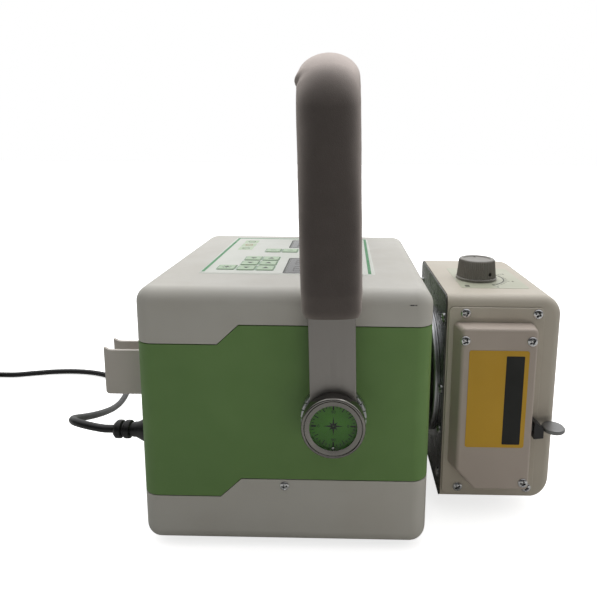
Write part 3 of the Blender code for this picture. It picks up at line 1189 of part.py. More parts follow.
def build_handle():
    half = HALF_WIDTH + STRAP_MIDDLE
    top = HANDLE_REACH - FOAM_HALF_THICKNESS
    radius = HANDLE_BEND_RADIUS
    thick = STRAP_THICKNESS / 2

    def bend(offset, reverse=False):
        arc = []
        for step in range(7):
            angle = math.radians(90 * step / 6)
            arc.append((-half + radius - (radius + offset) * math.cos(angle),
                        top - radius + (radius + offset) * math.sin(angle)))
        mirrored = [(-y, z) for y, z in reversed(arc)]
        line = [(-half - offset, 0.0)] + arc + mirrored + [(half + offset, 0.0)]
        return list(reversed(line)) if reverse else line

    outline = bend(thick) + bend(-thick, True)
    strap = add_object("handle_strap", outline_mesh("handle_strap", outline, STRAP_WIDTH, "YZ"),
                       (PIVOT_X, 0.0, PIVOT_HEIGHT), HANDLE)
    for side in (-1, 1):
        eye = add_object(
            f"strap_eye_{side}", cylinder_mesh(f"strap_eye_{side}", STRAP_WIDTH / 2, STRAP_THICKNESS, "Y", 32),
            (0, 0, 0), cutter=True)
        eye.parent = strap
        eye.location = (0.0, side * half, 0.0)
        cut(strap, eye, "UNION")
        hole = hole_cutter(f"strap_hole_{side}", STUD_RADIUS + RUNNING, (0, 0, 0), "Y")
        hole.parent = strap
        hole.location = (0.0, side * half, 0.0)
        cut(strap, hole)
    finish(strap, "satin_aluminium")

    sides = 12
    slot_x = STRAP_WIDTH / 2 + FIT
    slot_n = STRAP_THICKNESS / 2 + FIT

    def oval(angle, half_width, outer, inner):
        across = half_width * math.copysign(abs(math.cos(angle)) ** 0.75, math.cos(angle))
        out = math.copysign(abs(math.sin(angle)) ** 0.75, math.sin(angle))
        return across, out * (outer if out > 0 else inner)

    def slot(index):
        quarter = sides // 4
        side_index, step = divmod((index + quarter // 2) % sides, quarter)
        share = step / quarter * 2 - 1
        corner = {
            0: (slot_x, share * slot_n), 1: (-share * slot_x, slot_n),
            2: (-slot_x, -share * slot_n), 3: (share * slot_x, -slot_n)}[side_index]
        return corner

    def build(work):
        outer_rings = []
        inner_rings = []
        path = handle_path()
        last = len(path) - 1
        for number, (y, z, ny, nz) in enumerate(path):
            half_width, outer, inner = foam_section(z, abs(y) < half - radius)
            if number in (0, last):
                half_width, outer, inner = half_width - 0.002, outer - 0.0014, inner - 0.0014
            ring = []
            hole = []
            for index in range(sides):
                across, out = oval(2 * math.pi * index / sides, half_width, outer, inner)
                ring.append(work.verts.new((across, y + ny * out, z + nz * out)))
                across, out = slot(index)
                hole.append(work.verts.new((across, y + ny * out, z + nz * out)))
            outer_rings.append(ring)
            inner_rings.append(hole)
        for rings, flip in ((outer_rings, False), (inner_rings, True)):
            for first, second in zip(rings, rings[1:]):
                for index in range(sides):
                    following = (index + 1) % sides
                    corners = [first[index], second[index], second[following], first[following]]
                    work.faces.new(list(reversed(corners)) if flip else corners)
        for ring, hole in ((outer_rings[0], inner_rings[0]), (outer_rings[-1], inner_rings[-1])):
            for index in range(sides):
                following = (index + 1) % sides
                work.faces.new((ring[index], ring[following], hole[following], hole[index]))

    grip = add_object("foam_grip", mesh_from("foam_grip", build), (PIVOT_X, 0.0, PIVOT_HEIGHT), HANDLE)
    finish(grip, "foam", 50)


# Rear fittings

def build_holder():
    """A cradle for the exposure switch: a round-backed trough, open to the rear and at both ends."""
    inner = HOLDER_INNER_RADIUS
    outer = inner + HOLDER_WALL
    back = -FIT - outer
    tip = -HOLDER_REACH
    lip = HOLDER_TIP
    plan = [(-FIT, -outer), (-FIT, outer), (tip + lip, outer), (tip, outer - lip), (tip, inner + lip / 2),
            (tip + lip, inner)]
    for step in range(13):
        angle = math.radians(90 - 180 * step / 12)
        plan.append((back + inner * math.cos(angle), inner * math.sin(angle)))
    plan += [(tip + lip, -inner), (tip, -inner - lip / 2), (tip, lip - outer), (tip + lip, -outer)]
    holder = add_object("switch_holder", outline_mesh("switch_holder", plan, HOLDER_HEIGHT, "XY"),
                        (0.0, HOLDER_Y, HOLDER_BOTTOM + HOLDER_HEIGHT / 2))
    top = HOLDER_BOTTOM + HOLDER_HEIGHT
    side_view = [(SPILL, HOLDER_BOTTOM), (SPILL, top - HOLDER_DIP), (tip + 4 * lip, top - HOLDER_DIP),
                 (tip + 2 * lip, top - HOLDER_DIP * 0.7), (tip + lip, top - HOLDER_DIP * 0.25), (tip, top)]
    for step in range(5):
        angle = math.radians(180 + 90 * step / 4)
        side_view.append((tip + HOLDER_CORNER * (1 + math.cos(angle)),
                          HOLDER_BOTTOM + HOLDER_CORNER * (1 + math.sin(angle))))
    cut(holder, add_object("holder_side", outline_mesh("holder_side", side_view, 2 * outer + SPILL, "XZ"),
                           (0.0, HOLDER_Y, 0.0), cutter=True), "INTERSECT")
    return finish(holder, "white_cover")


def build_power_entry():
    """One moulded frame in the rear wall with the mains socket and the rocker beside it."""
    frame = box_part(
        "power_entry",
        (-INLET_FLANGE - FIT, INLET_Y - INLET_WIDTH / 2, INLET_HEIGHT - INLET_TALL / 2),
        (-FIT, ROCKER_Y + INLET_WIDTH / 2 - 2 * INLET_FLANGE, INLET_HEIGHT + INLET_TALL / 2),
        "black_plastic", 0.0006, segments=1)
    rooms = (
        ("socket", INLET_Y, SOCKET_WIDTH, SOCKET_TALL, SOCKET_DEPTH),
        ("rocker", ROCKER_Y, ROCKER_WIDTH, ROCKER_TALL, ROCKER_DEPTH),
    )
    wall = SLEEVE_WALL
    for name, side, width, tall, depth in rooms:
        cut(frame, box_cutter(
            name + "_sleeve", (-INLET_FLANGE / 2, side - width / 2 - wall, INLET_HEIGHT - tall / 2 - wall),
            (depth + wall, side + width / 2 + wall, INLET_HEIGHT + tall / 2 + wall)), "UNION")
    for name, side, width, tall, depth in rooms:
        cut(frame, box_cutter(
            name + "_room", (-SPILL, side - width / 2, INLET_HEIGHT - tall / 2),
            (depth, side + width / 2, INLET_HEIGHT + tall / 2)))
    finish(frame, "black_plastic")
    reach = ROCKER_TALL / 2 - ROCKER_END_GAP
    proud = ROCKER_PROUD
    depth = ROCKER_DEPTH * 0.58
    rocker = add_object("power_rocker", outline_mesh("power_rocker", [
        (-proud * 1.69, -reach), (-proud, -reach * 0.45), (-proud * 0.75, 0.0), (-proud, reach * 0.45),
        (-proud * 1.25, reach), (depth * 0.57, reach * 0.90), (depth, reach * 0.31), (depth, -reach * 0.31),
        (depth * 0.57, -reach * 0.90),
    ], ROCKER_WIDTH - 2 * RUNNING, "XZ"), (0.0, ROCKER_Y, INLET_HEIGHT), ROCKER)
    finish(rocker, "black_plastic")


# Mains lead

def connector_radius_profile():
    """The moulded connector from the wall to the cord: a flare, two ribs and a taper."""
    seat = INLET_FLANGE + 3 * FIT
    body = CONNECTOR_REACH - seat
    radius = CONNECTOR_RADIUS
    # Radius as a share of the body's, and height as a share of the way out from the wall
    shares = [(0.0, 1.0), (0.52, 1.0), (0.66, 0.94), (0.69, 0.90), (0.69, 0.76), (0.55, 0.74), (0.55, 0.69),
              (0.73, 0.67), (0.73, 0.50), (0.57, 0.48), (0.60, 0.41), (0.98, 0.12), (1.0, 0.0), (0.0, 0.0)]
    return [(radius * across, seat + body * along) for across, along in shares]


def build_lead():
    place = (0.0, INLET_Y, INLET_HEIGHT)
    connector = turned("lead_connector", connector_radius_profile(), place, "-X", steps=14)
    nose_wide = SOCKET_WIDTH / 2 - NOSE_GAP
    nose_tall = SOCKET_TALL / 2 - NOSE_GAP
    nose = box_cutter(
        "connector_nose", (-2 * INLET_FLANGE, INLET_Y - nose_wide, INLET_HEIGHT - nose_tall),
        (SOCKET_DEPTH - NOSE_GAP, INLET_Y + nose_wide, INLET_HEIGHT + nose_tall))
    cut(connector, nose, "UNION")
    finish(connector, "black_plastic")

    route = cord_route()
    smooth = smooth_line(route, CORD_POINTS)
    curve = bpy.data.curves.new("mains_lead", "CURVE")
    curve.dimensions = "3D"
    curve.bevel_depth = CORD_RADIUS
    curve.bevel_resolution = 2
    curve.use_fill_caps = True
    spline = curve.splines.new("POLY")
    spline.points.add(len(smooth) - 1)
    for point, place in zip(spline.points, smooth):
        point.co = (*place, 1.0)
    lead = bpy.data.objects.new("mains_lead", curve)
    lead.parent = BODY
    PARTS.objects.link(lead)
    curve.materials.append(MATERIALS["rubber"])

    floor = -FOOT_HEIGHT
    low = FIT
    inside = COIL_MEAN_RADIUS - COIL_HALF_WIDTH
    outside = COIL_MEAN_RADIUS + COIL_HALF_WIDTH
    shoulder = COIL_HEIGHT - COIL_EDGE
    coil = turned("lead_coil", [
        (inside, shoulder), (inside + COIL_EDGE, COIL_HEIGHT), (outside - COIL_EDGE, COIL_HEIGHT),
        (outside, shoulder),
        (outside, COIL_EDGE), (outside - COIL_EDGE, low), (inside + COIL_EDGE, low), (inside, COIL_EDGE),
    ], (COIL_X, COIL_Y, floor), "Z", steps=20)
    finish(coil, "rubber")
    plug_height = PLUG_RADIUS + FIT
    neck_half_chord = math.sqrt(max(PLUG_NECK_RADIUS ** 2 - (plug_height - shoulder) ** 2, 0.0))
    plug = turned("mains_plug", [
        (0.0, PLUG_LENGTH), (PLUG_RADIUS, PLUG_LENGTH), (PLUG_RADIUS, PLUG_LENGTH * 0.69),
        (PLUG_RADIUS * 0.70, PLUG_LENGTH * 0.27), (PLUG_NECK_RADIUS, 0.0), (0.0, 0.0),
    ], (COIL_X - coil_reach(neck_half_chord), COIL_Y - COIL_MEAN_RADIUS, floor + plug_height), "-X", steps=14)
    for side in (-1, 1):
        pin = hole_cutter(f"plug_pin_{side}", PLUG_PIN_RADIUS, (0, 0, 0), "Z", 2 * PLUG_PIN_REACH, 10)
        pin.parent = plug
        pin.location = (0.0, side * PLUG_PIN_OFFSET, PLUG_LENGTH)
        cut(plug, pin, "UNION")
    finish(plug, "black_plastic")


def coil_reach(half_width):
    """How far from the coil's middle an end of this half width, leaving on a tangent, stays clear of it."""
    outer = COIL_MEAN_RADIUS + COIL_HALF_WIDTH
    return math.sqrt(outer ** 2 - (COIL_MEAN_RADIUS - half_width) ** 2) + FIT


def cord_route():
    """The lead's own points: out of the connector, back in a loose loop and along the table."""
    table = CORD_RADIUS + FIT - FOOT_HEIGHT
    start = -CONNECTOR_REACH - FIT
    side = INLET_Y
    high = INLET_HEIGHT
    return [
        (start, side, high), (-0.047, side, high + 0.0002), (-0.057, side + 0.0003, high + 0.0017),
        (-0.0671, side + 0.0022, high + 0.0028), (-0.0762, side + 0.0072, high + 0.0022),
        (-0.0829, side + 0.0155, high - 0.0005), (-0.0861, side + 0.0255, high - 0.0047),
        (-0.0872, side + 0.0395, high - 0.0113), (-0.0878, side + 0.0575, high - 0.0195),
        (-0.0893, side + 0.0785, high - 0.0286), (-0.0923, side + 0.1045, high - 0.0392),
        (-0.0971, side + 0.1325, high - 0.0499), (-0.1030, side + 0.1625, high - 0.0594),
        (-0.1105, side + 0.1935, high - 0.0672), (-0.1210, side + 0.2250, table + 0.0058),
        (-0.1380, side + 0.2560, table + 0.0008), (-0.1610, side + 0.2800, table),
        (-0.190, side + 0.2940, table),
        (-0.222, side + 0.3000, table), (-0.255, side + 0.2985, table), (-0.284, side + 0.2920, table),
        (-0.308, COIL_Y + COIL_MEAN_RADIUS + 0.0005, table),
        (COIL_X + coil_reach(CORD_RADIUS), COIL_Y + COIL_MEAN_RADIUS, table),
    ]


def smooth_line(route, count):
    """Even points along a Catmull-Rom curve through the route."""
    points = [Vector(p) for p in route]
    padded = [points[0] * 2 - points[1]] + points + [points[-1] * 2 - points[-2]]
    fine = []
    for index in range(1, len(padded) - 2):
        before, first, second, after = padded[index - 1:index + 3]
        for step in range(12):
            share = step / 12
            fine.append(0.5 * (
                2 * first + (second - before) * share
                + (2 * before - 5 * first + 4 * second - after) * share ** 2
                + (3 * first - before - 3 * second + after) * share ** 3))
    fine.append(points[-1])
    distances = [0.0]
    for first, second in zip(fine, fine[1:]):
        distances.append(distances[-1] + (second - first).length)
    even = []
    cursor = 0
    for index in range(count):
        target = distances[-1] * index / (count - 1)
        while cursor < len(distances) - 2 and distances[cursor + 1] < target:
            cursor += 1
        share = (target - distances[cursor]) / max(distances[cursor + 1] - distances[cursor], 0.0000001)
        even.append(fine[cursor].lerp(fine[cursor + 1], min(share, 1.0)))
    return even


# Empties on the joints' axes
HANDLE = add_empty("handle_pivot", (PIVOT_X, 0.0, PIVOT_HEIGHT), BODY)
HANDLE.rotation_euler = (0.0, -HANDLE_LEAN, 0.0)
NEAR_BALL = add_empty("near_ball_axis", (PIVOT_X, -HALF_WIDTH, PIVOT_HEIGHT), BODY)
FAR_BALL = add_empty("far_ball_axis", (PIVOT_X, HALF_WIDTH, PIVOT_HEIGHT), BODY)
SWIVEL = add_empty("swivel_axis", (BODY_LENGTH, 0.0, BEAM_HEIGHT), BODY)
TOP_KNOB = add_empty("top_knob_axis", (KNOB_X, KNOB_Y, COLLIMATOR_TOP + FIT), SWIVEL)
FAR_KNOB = add_empty("far_knob_axis", (KNOB_X, COLLIMATOR_HALF + FIT, BEAM_HEIGHT), SWIVEL)
NEAR_BLADE = add_empty("near_blade_slide", (GUIDE_X, 0.0, BEAM_HEIGHT), SWIVEL)
FAR_BLADE = add_empty("far_blade_slide", (GUIDE_X, 0.0, BEAM_HEIGHT), SWIVEL)
LOWER_BLADE = add_empty("lower_blade_slide", (GUIDE_X, 0.0, BEAM_HEIGHT), SWIVEL)
UPPER_BLADE = add_empty("upper_blade_slide", (GUIDE_X, 0.0, BEAM_HEIGHT), SWIVEL)
TAPE = add_empty("tape_slide", (TAPE_TAB_X, TAPE_Y, TAPE_HEIGHT), SWIVEL)
ROCKER = add_empty("rocker_axis", (0.0, ROCKER_Y, INLET_HEIGHT), BODY)

BASE_COVER, MIDDLE_BAND, TOP_COVER = build_housing()
cut_housing(BASE_COVER, MIDDLE_BAND, TOP_COVER)
build_feet()
build_panel()
build_inside()
build_swivel()
build_collimator()
build_side_fittings()
build_beam_shutters()
build_knob("top_knob", TOP_KNOB, "Z")
build_knob("far_knob", FAR_KNOB, "Y")
for wall_name, wall_side, ball_axis in (("near", -1, NEAR_BALL), ("far", 1, FAR_BALL)):
    build_detent_ring(wall_name, wall_side)
    build_hub(wall_name, wall_side, ball_axis)
build_handle()
build_holder()
build_power_entry()
build_lead()
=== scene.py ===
"""Looks of a portable x-ray generator: its finishes, printed panel, dials, screws, foam grip and mains lead."""

import json
import math

import bmesh
import bpy
from mathutils import Matrix, Vector, noise


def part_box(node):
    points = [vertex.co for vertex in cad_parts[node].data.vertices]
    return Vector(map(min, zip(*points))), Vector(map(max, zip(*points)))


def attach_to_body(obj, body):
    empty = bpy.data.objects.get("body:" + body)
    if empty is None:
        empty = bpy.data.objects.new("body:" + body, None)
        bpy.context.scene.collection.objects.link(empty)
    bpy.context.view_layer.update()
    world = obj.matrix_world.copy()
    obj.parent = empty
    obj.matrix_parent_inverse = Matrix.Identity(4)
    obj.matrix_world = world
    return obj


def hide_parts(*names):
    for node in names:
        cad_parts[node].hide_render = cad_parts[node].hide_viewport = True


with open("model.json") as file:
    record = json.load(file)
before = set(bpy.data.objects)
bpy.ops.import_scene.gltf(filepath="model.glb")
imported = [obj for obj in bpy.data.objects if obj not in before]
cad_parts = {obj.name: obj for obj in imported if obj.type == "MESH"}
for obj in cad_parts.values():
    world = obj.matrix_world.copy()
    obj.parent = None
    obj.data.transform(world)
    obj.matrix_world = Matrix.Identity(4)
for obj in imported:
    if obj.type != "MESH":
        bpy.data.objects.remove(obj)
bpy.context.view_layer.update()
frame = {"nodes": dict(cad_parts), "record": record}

# The body's own frame: x from the rear wall, y from the middle and z from the underside
REAR_WALL, NEAR_WALL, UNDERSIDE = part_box("base_cover")[0]
TABLE = 0.0

# Camera, solved from the housing's straight edges in the 597 pixel photograph
IMAGE_SIZE = 597
FOCAL_PIXELS = 537.3
CENTRE_COLUMN = 335.7
CENTRE_ROW = 231.3
CAMERA_YAW = -0.0144
CAMERA_PITCH = 0.1635
CAMERA_ROLL = 0.0086
CAMERA_PLACE = (0.1669, -0.5340, 0.3365)
SENSOR = 36.0

# Prints
INK = 0.00006
LIFT = 0.00002

# Collimator and its fittings
COLLIMATOR_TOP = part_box("collimator_shell")[1].z
COLLIMATOR_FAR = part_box("collimator_shell")[1].y
BEAM_Z = (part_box("collimator_shell")[0].z + COLLIMATOR_TOP) / 2

# Housing
BODY_SIZE = (0.240, 0.257, 0.222)
HOUSING_CORNER = 0.0145
HOUSING_EDGE = 0.0125
HOUSING_WALL = 0.003
SEAM_LEVELS = (0.044, 0.177)
SEAM_RISE = 0.0165
SEAM_RISE_X = (0.067, 0.0845)
SEAM_HALF_GAP = 0.0003
SEAM_EDGE = 0.0004
COVER_SCREW_X = 0.1204
COVER_SCREW_BORE = 0.0022
PANEL_POCKET_FLOOR = 0.2208
PORT_BORE = 0.0463
HUB_BORE = 0.0063
SLEEVE_ROOM = 0.0018
ROCKER_SLEEVE = (-0.0555, 0.0065, 0.0110)

# Collimator
SHELL_WALL = 0.003
SHELL_RIM = 0.008
SHELL_LOWER_RIM = 0.0015
SHELL_FRONT_RADIUS = 0.018
KNOB_RIBS = 60
KNOB_HEIGHT = 0.0202
KNOB_RADIUS = 0.0173
KNOB_SHAFT_BORE = 0.0035
SET_SCREW_ANGLE = math.radians(33)
SIDE_BOX_WALL = 0.0022

# Handle
PIVOT = (0.1608, 0.1196)
HANDLE_LEAN = math.radians(1.3)
HANDLE_HALF_SPAN = 0.1393
HANDLE_TOP = 0.2665
HANDLE_BEND = 0.027
STRAP_WIDTH = 0.0364
STRAP_THICKNESS = 0.005
FOAM_START = 0.0855

# Mains lead
CORD_RADIUS = 0.0035
COIL_END_BEND = 0.0272
COIL_MIDDLE = (-0.365, 0.158)
COIL_MEAN_RADIUS = 0.039
INLET = (-0.0885, 0.0805)
INLET_SLEEVE = (INLET[0], 0.01225, 0.0086)
CONNECTOR_REACH = 0.0370
FIT = 0.0003
AXIS_RADIUS = 0.00002


def ease(share):
    return share * share * (3 - 2 * share)


def place(x, y, z):
    """A point of the body's frame in the row's frame."""
    return Vector((REAR_WALL + x, y, UNDERSIDE + z))


# Mesh helpers

def build_mesh(name, build):
    work = bmesh.new()
    build(work)
    bmesh.ops.recalc_face_normals(work, faces=work.faces)
    mesh = bpy.data.meshes.new(name)
    work.to_mesh(mesh)
    work.free()
    return mesh


def link_object(name, data):
    thing = bpy.data.objects.new(name, data)
    bpy.context.scene.collection.objects.link(thing)
    return thing


def bake(source):
    """The mesh of an object with its modifiers applied. The object itself goes."""
    bpy.context.view_layer.update()
    mesh = bpy.data.meshes.new_from_object(source.evaluated_get(bpy.context.evaluated_depsgraph_get()))
    bpy.data.objects.remove(source, do_unlink=True)
    return mesh


def attach(name, mesh, body, slot, matrix=None, replaces=(), finish=None):
    """Link a shaded mesh and let it ride on a body. It has its slot's finish unless another is named."""
    piece = link_object(name, mesh)
    mesh.materials.clear()
    mesh.materials.append(MATERIALS[finish or slot])
    for face in mesh.polygons:
        face.material_index = 0
    if matrix is not None:
        piece.matrix_world = matrix
    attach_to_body(piece, body)
    if replaces:
        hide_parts(*replaces)
    return piece


def add_piece(name, mesh, body, slot, matrix=None, smooth=35, replaces=(), finish=None):
    """Shade a mesh smooth up to an angle and attach it."""
    mesh.shade_smooth()
    mesh.set_sharp_from_angle(angle=math.radians(smooth))
    return attach(name, mesh, body, slot, matrix, replaces, finish)


def facing(origin, across, up):
    """A drawing plane: u runs across, v runs up and w points out of the surface."""
    u = Vector(across).normalized()
    v = Vector(up).normalized()
    w = u.cross(v)
    matrix = Matrix((u, v, w)).transposed().to_4x4()
    matrix.translation = Vector(origin)
    return matrix


def rim_faces(work, first, second):
    """Faces between two closed loops of corners, where corners that are the same count once."""
    for index in range(len(first)):
        following = (index + 1) % len(first)
        corners = list(dict.fromkeys((first[index], second[index], second[following], first[following])))
        if len(corners) > 2:
            work.faces.new(corners)


def prism(work, loop, low, high):
    """A closed prism on one outline."""
    bottom, top = [[work.verts.new((u, v, level)) for u, v in loop] for level in (low, high)]
    work.faces.new(list(reversed(bottom)))
    work.faces.new(top)
    rim_faces(work, top, bottom)


def tube_prism(work, outer, inner, low, high, closed=True):
    """A closed prism between two outlines with the same count of points, or along an open band."""
    count = len(outer)
    rings = [[work.verts.new((u, v, level)) for u, v in loop] for level in (low, high) for loop in (outer, inner)]
    low_out, low_in, high_out, high_in = rings
    for index in range(count if closed else count - 1):
        following = (index + 1) % count
        work.faces.new((low_out[following], low_out[index], low_in[index], low_in[following]))
        work.faces.new((high_out[index], high_out[following], high_in[following], high_in[index]))
        work.faces.new((low_out[index], low_out[following], high_out[following], high_out[index]))
        work.faces.new((low_in[following], low_in[index], high_in[index], high_in[following]))
    if not closed:
        for index in (0, count - 1):
            work.faces.new((low_out[index], low_in[index], high_in[index], high_out[index]))


def rectangle(u0, v0, u1, v1):
    return [(u0, v0), (u1, v0), (u1, v1), (u0, v1)]


def corner_arc(middle, radius, start, steps=10, sweep=90):
    """Points on an arc round a middle, from a start angle, in degrees."""
    angles = [math.radians(start + sweep * step / steps) for step in range(steps + 1)]
    return [(middle[0] + radius * math.cos(angle), middle[1] + radius * math.sin(angle)) for angle in angles]


def rounded(u0, v0, u1, v1, radius, steps=5):
    left, low, right, high = u0 + radius, v0 + radius, u1 - radius, v1 - radius
    points = []
    for middle, start in (((right, low), -90), ((right, high), 0), ((left, high), 90), ((left, low), 180)):
        points += corner_arc(middle, radius, start, steps)
    return points


def circle(radius, steps=64, middle=(0.0, 0.0)):
    angles = [2 * math.pi * step / steps for step in range(steps)]
    return [(middle[0] + radius * math.cos(angle), middle[1] + radius * math.sin(angle)) for angle in angles]


def arc_band(radius, width, start, end, steps=24):
    """Outer and inner points of a band along an arc, in degrees."""
    return tuple(corner_arc((0.0, 0.0), radius + side * width / 2, start, steps, end - start) for side in (1, -1))


def tick(angle, near, far, width):
    """A radial mark as an outline."""
    along = Vector((math.cos(math.radians(angle)), math.sin(math.radians(angle))))
    side = Vector((-along.y, along.x)) * width / 2
    corners = (along * near - side, along * far - side, along * far + side, along * near + side)
    return [tuple(corner) for corner in corners]


def line_band(points, width):
    """Two sides of an open polyline's band, mitred at its corners."""
    outer, inner = [], []
    count = len(points)
    for index, point in enumerate(points):
        before = Vector(points[max(index - 1, 0)])
        after = Vector(points[min(index + 1, count - 1)])
        here = Vector(point)
        first = (here - before).normalized() if index else (after - here).normalized()
        second = (after - here).normalized() if index < count - 1 else first
        normal_first = Vector((-first.y, first.x))
        normal_second = Vector((-second.y, second.x))
        mitre = (normal_first + normal_second).normalized()
        reach = width / 2 / max(mitre.dot(normal_first), 0.4)
        outer.append(tuple(here - mitre * reach))
        inner.append(tuple(here + mitre * reach))
    return outer, inner


def printed(name, matrix, finish, body, slot, loops=(), bands=(), closed_bands=(), lift=LIFT, ink=INK):
    """Thin printed shapes on one drawing plane."""
    def build(work):
        for loop in loops:
            prism(work, loop, lift, lift + ink)
        for outer, inner in bands:
            tube_prism(work, outer, inner, lift, lift + ink, closed=False)
        for outer, inner in closed_bands:
            tube_prism(work, outer, inner, lift, lift + ink)
    return add_piece(name, build_mesh(name, build), body, slot, matrix, finish=finish)


def number_mesh(name, text, height):
    """A plain number as a flat mesh, centred on its own middle."""
    curve = bpy.data.curves.new(name, "FONT")
    curve.body = text
    curve.size = height * 1.38
    curve.align_x = "CENTER"
    curve.align_y = "CENTER"
    curve.extrude = INK / 2
    curve.resolution_u = 4
    return bake(link_object(name, curve))


def add_number(name, text, height, matrix, spot, finish, body, slot, lift=LIFT):
    local = Matrix.Translation((spot[0], spot[1], lift + INK / 2))
    return add_piece(name, number_mesh(name, text, height), body, slot, matrix @ local, finish=finish)


def revolve(name, profile, steps=64):
    """A turned mesh round its own z axis, from (radius, height) points down its outer side."""
    def build(work):
        rings = []
        for radius, height in profile:
            if radius > AXIS_RADIUS:
                rings.append([work.verts.new((x, y, height)) for x, y in circle(radius, steps)])
            else:
                rings.append([work.verts.new((0.0, 0.0, height))] * steps)
        for upper, lower in zip(rings, rings[1:]):
            rim_faces(work, upper, lower)
    return build_mesh(name, build)


# Shader groups

def new_group(name, inputs, outputs):
    """A node group with named sockets. Returns the tree, its input and its output node."""
    tree = bpy.data.node_groups.new(name, "ShaderNodeTree")
    for label, kind, value in inputs:
        socket = tree.interface.new_socket(name=label, in_out="INPUT", socket_type="NodeSocket" + kind)
        if value is not None:
            socket.default_value = value
    for label, kind in outputs:
        tree.interface.new_socket(name=label, in_out="OUTPUT", socket_type="NodeSocket" + kind)
    return tree, tree.nodes.new("NodeGroupInput"), tree.nodes.new("NodeGroupOutput")


def feed(tree, socket, value):
    """Link a socket to its source, or set its value."""
    if isinstance(value, bpy.types.NodeSocket):
        tree.links.new(value, socket)
    else:
        socket.default_value = value


def add_node(tree, kind, settings=None, **values):
    """Add a node. Keyword values fill its sockets by name, or by number as i0, i1 and so on."""
    node = tree.nodes.new("ShaderNode" + kind)
    for key, value in (settings or {}).items():
        setattr(node, key, value)
    for key, value in values.items():
        numbered = key[0] == "i" and key[1:].isdigit()
        feed(tree, node.inputs[int(key[1:]) if numbered else key.replace("_", " ")], value)
    return node


def mix_colour(tree, share, first, second, blend="MIX"):
    settings = {"data_type": "RGBA", "blend_type": blend}
    return add_node(tree, "Mix", settings, i0=share, i6=first, i7=second).outputs[2]


def math_node(tree, operation, first, second=0.0, clamp=False):
    return add_node(tree, "Math", {"operation": operation, "use_clamp": clamp}, i0=first, i1=second).outputs[0]


def remap(tree, value, low, high, to_low, to_high, smooth=False):
    settings = {"interpolation_type": "SMOOTHSTEP" if smooth else "LINEAR"}
    return add_node(tree, "MapRange", settings, i0=value, i1=low, i2=high, i3=to_low, i4=to_high).outputs[0]


def object_coordinates(tree):
    return add_node(tree, "TexCoord").outputs["Object"]


def make_moulded_group():
    """Moulded plastic or paint: a fine grain, a faint uneven tone and roughness that varies with handling."""
    tree, start, end = new_group("moulded_surface", [
        ("Colour", "Color", (0.5, 0.5, 0.5, 1)), ("Tone", "Color", (0.5, 0.5, 0.5, 1)), ("Grain scale", "Float", 900.0),
        ("Grain depth", "Float", 0.00002), ("Roughness", "Float", 0.5), ("Patchiness", "Float", 0.1),
    ], [("Colour", "Color"), ("Roughness", "Float"), ("Normal", "Vector")])
    spot = object_coordinates(tree)
    grain = add_node(tree, "TexNoise", Vector=spot, Scale=start.outputs["Grain scale"], Detail=2.0, Roughness=0.6)
    cloud = add_node(tree, "TexNoise", Vector=spot, Scale=11.0, Detail=3.0, Roughness=0.55)
    smudge = add_node(tree, "TexNoise", Vector=spot, Scale=46.0, Detail=5.0, Roughness=0.65, Distortion=0.6)
    share = remap(tree, cloud.outputs[0], 0.35, 0.68, 0.0, 1.0, smooth=True)
    tree.links.new(mix_colour(tree, share, start.outputs["Colour"], start.outputs["Tone"]), end.inputs["Colour"])
    patch = remap(tree, smudge.outputs[0], 0.3, 0.7, -1.0, 1.0)
    uneven = math_node(tree, "MULTIPLY", patch, start.outputs["Patchiness"])
    tree.links.new(math_node(tree, "ADD", start.outputs["Roughness"], uneven, clamp=True), end.inputs["Roughness"])
    bump = add_node(tree, "Bump", Strength=0.7, Distance=start.outputs["Grain depth"], Height=grain.outputs[0])
    tree.links.new(bump.outputs[0], end.inputs["Normal"])
    return tree


def make_worn_edge_group():
    """Where an outer edge is rubbed bare: the rounded normal leaves the true one, broken up by noise."""
    tree, start, end = new_group("worn_edges", [
        ("Radius", "Float", 0.0006), ("Amount", "Float", 0.6)], [("Mask", "Float")])
    soft = add_node(tree, "Bevel", {"samples": 4}, Radius=start.outputs["Radius"])
    true_normal = add_node(tree, "NewGeometry").outputs["Normal"]
    product = add_node(tree, "VectorMath", {"operation": "DOT_PRODUCT"}, i0=soft.outputs[0], i1=true_normal)
    turn = math_node(tree, "SUBTRACT", 1.0, product.outputs["Value"])
    breaks = add_node(tree, "TexNoise", Vector=object_coordinates(tree), Scale=160.0, Detail=4.0, Roughness=0.7)
    edge = remap(tree, turn, 0.02, 0.16, 0.0, 1.0)
    broken = remap(tree, breaks.outputs[0], 0.42, 0.62, 0.0, 1.0)
    masked = math_node(tree, "MULTIPLY", edge, broken)
    tree.links.new(math_node(tree, "MULTIPLY", masked, start.outputs["Amount"], clamp=True), end.inputs["Mask"])
    return tree


def make_settled_dust_group():
    """Painted shade and dust in corners and seams: a mask from occlusion within a short reach, broken up by noise. A
    darker colour mixed in by it is painted shade with some grime; a paler one is dust.
    """
    tree, start, end = new_group("corner_shade_and_dirt", [
        ("Reach", "Float", 0.005), ("Amount", "Float", 0.4)], [("Mask", "Float")])
    hollow = add_node(tree, "AmbientOcclusion", {"samples": 6}, Distance=start.outputs["Reach"])
    breaks = add_node(tree, "TexNoise", Vector=object_coordinates(tree), Scale=90.0, Detail=4.0, Roughness=0.6)
    deep = remap(tree, hollow.outputs["AO"], 0.15, 0.75, 1.0, 0.0, smooth=True)
    broken = remap(tree, breaks.outputs[0], 0.25, 0.65, 0.35, 1.0)
    masked = math_node(tree, "MULTIPLY", deep, broken)
    tree.links.new(math_node(tree, "MULTIPLY", masked, start.outputs["Amount"], clamp=True), end.inputs["Mask"])
    return tree


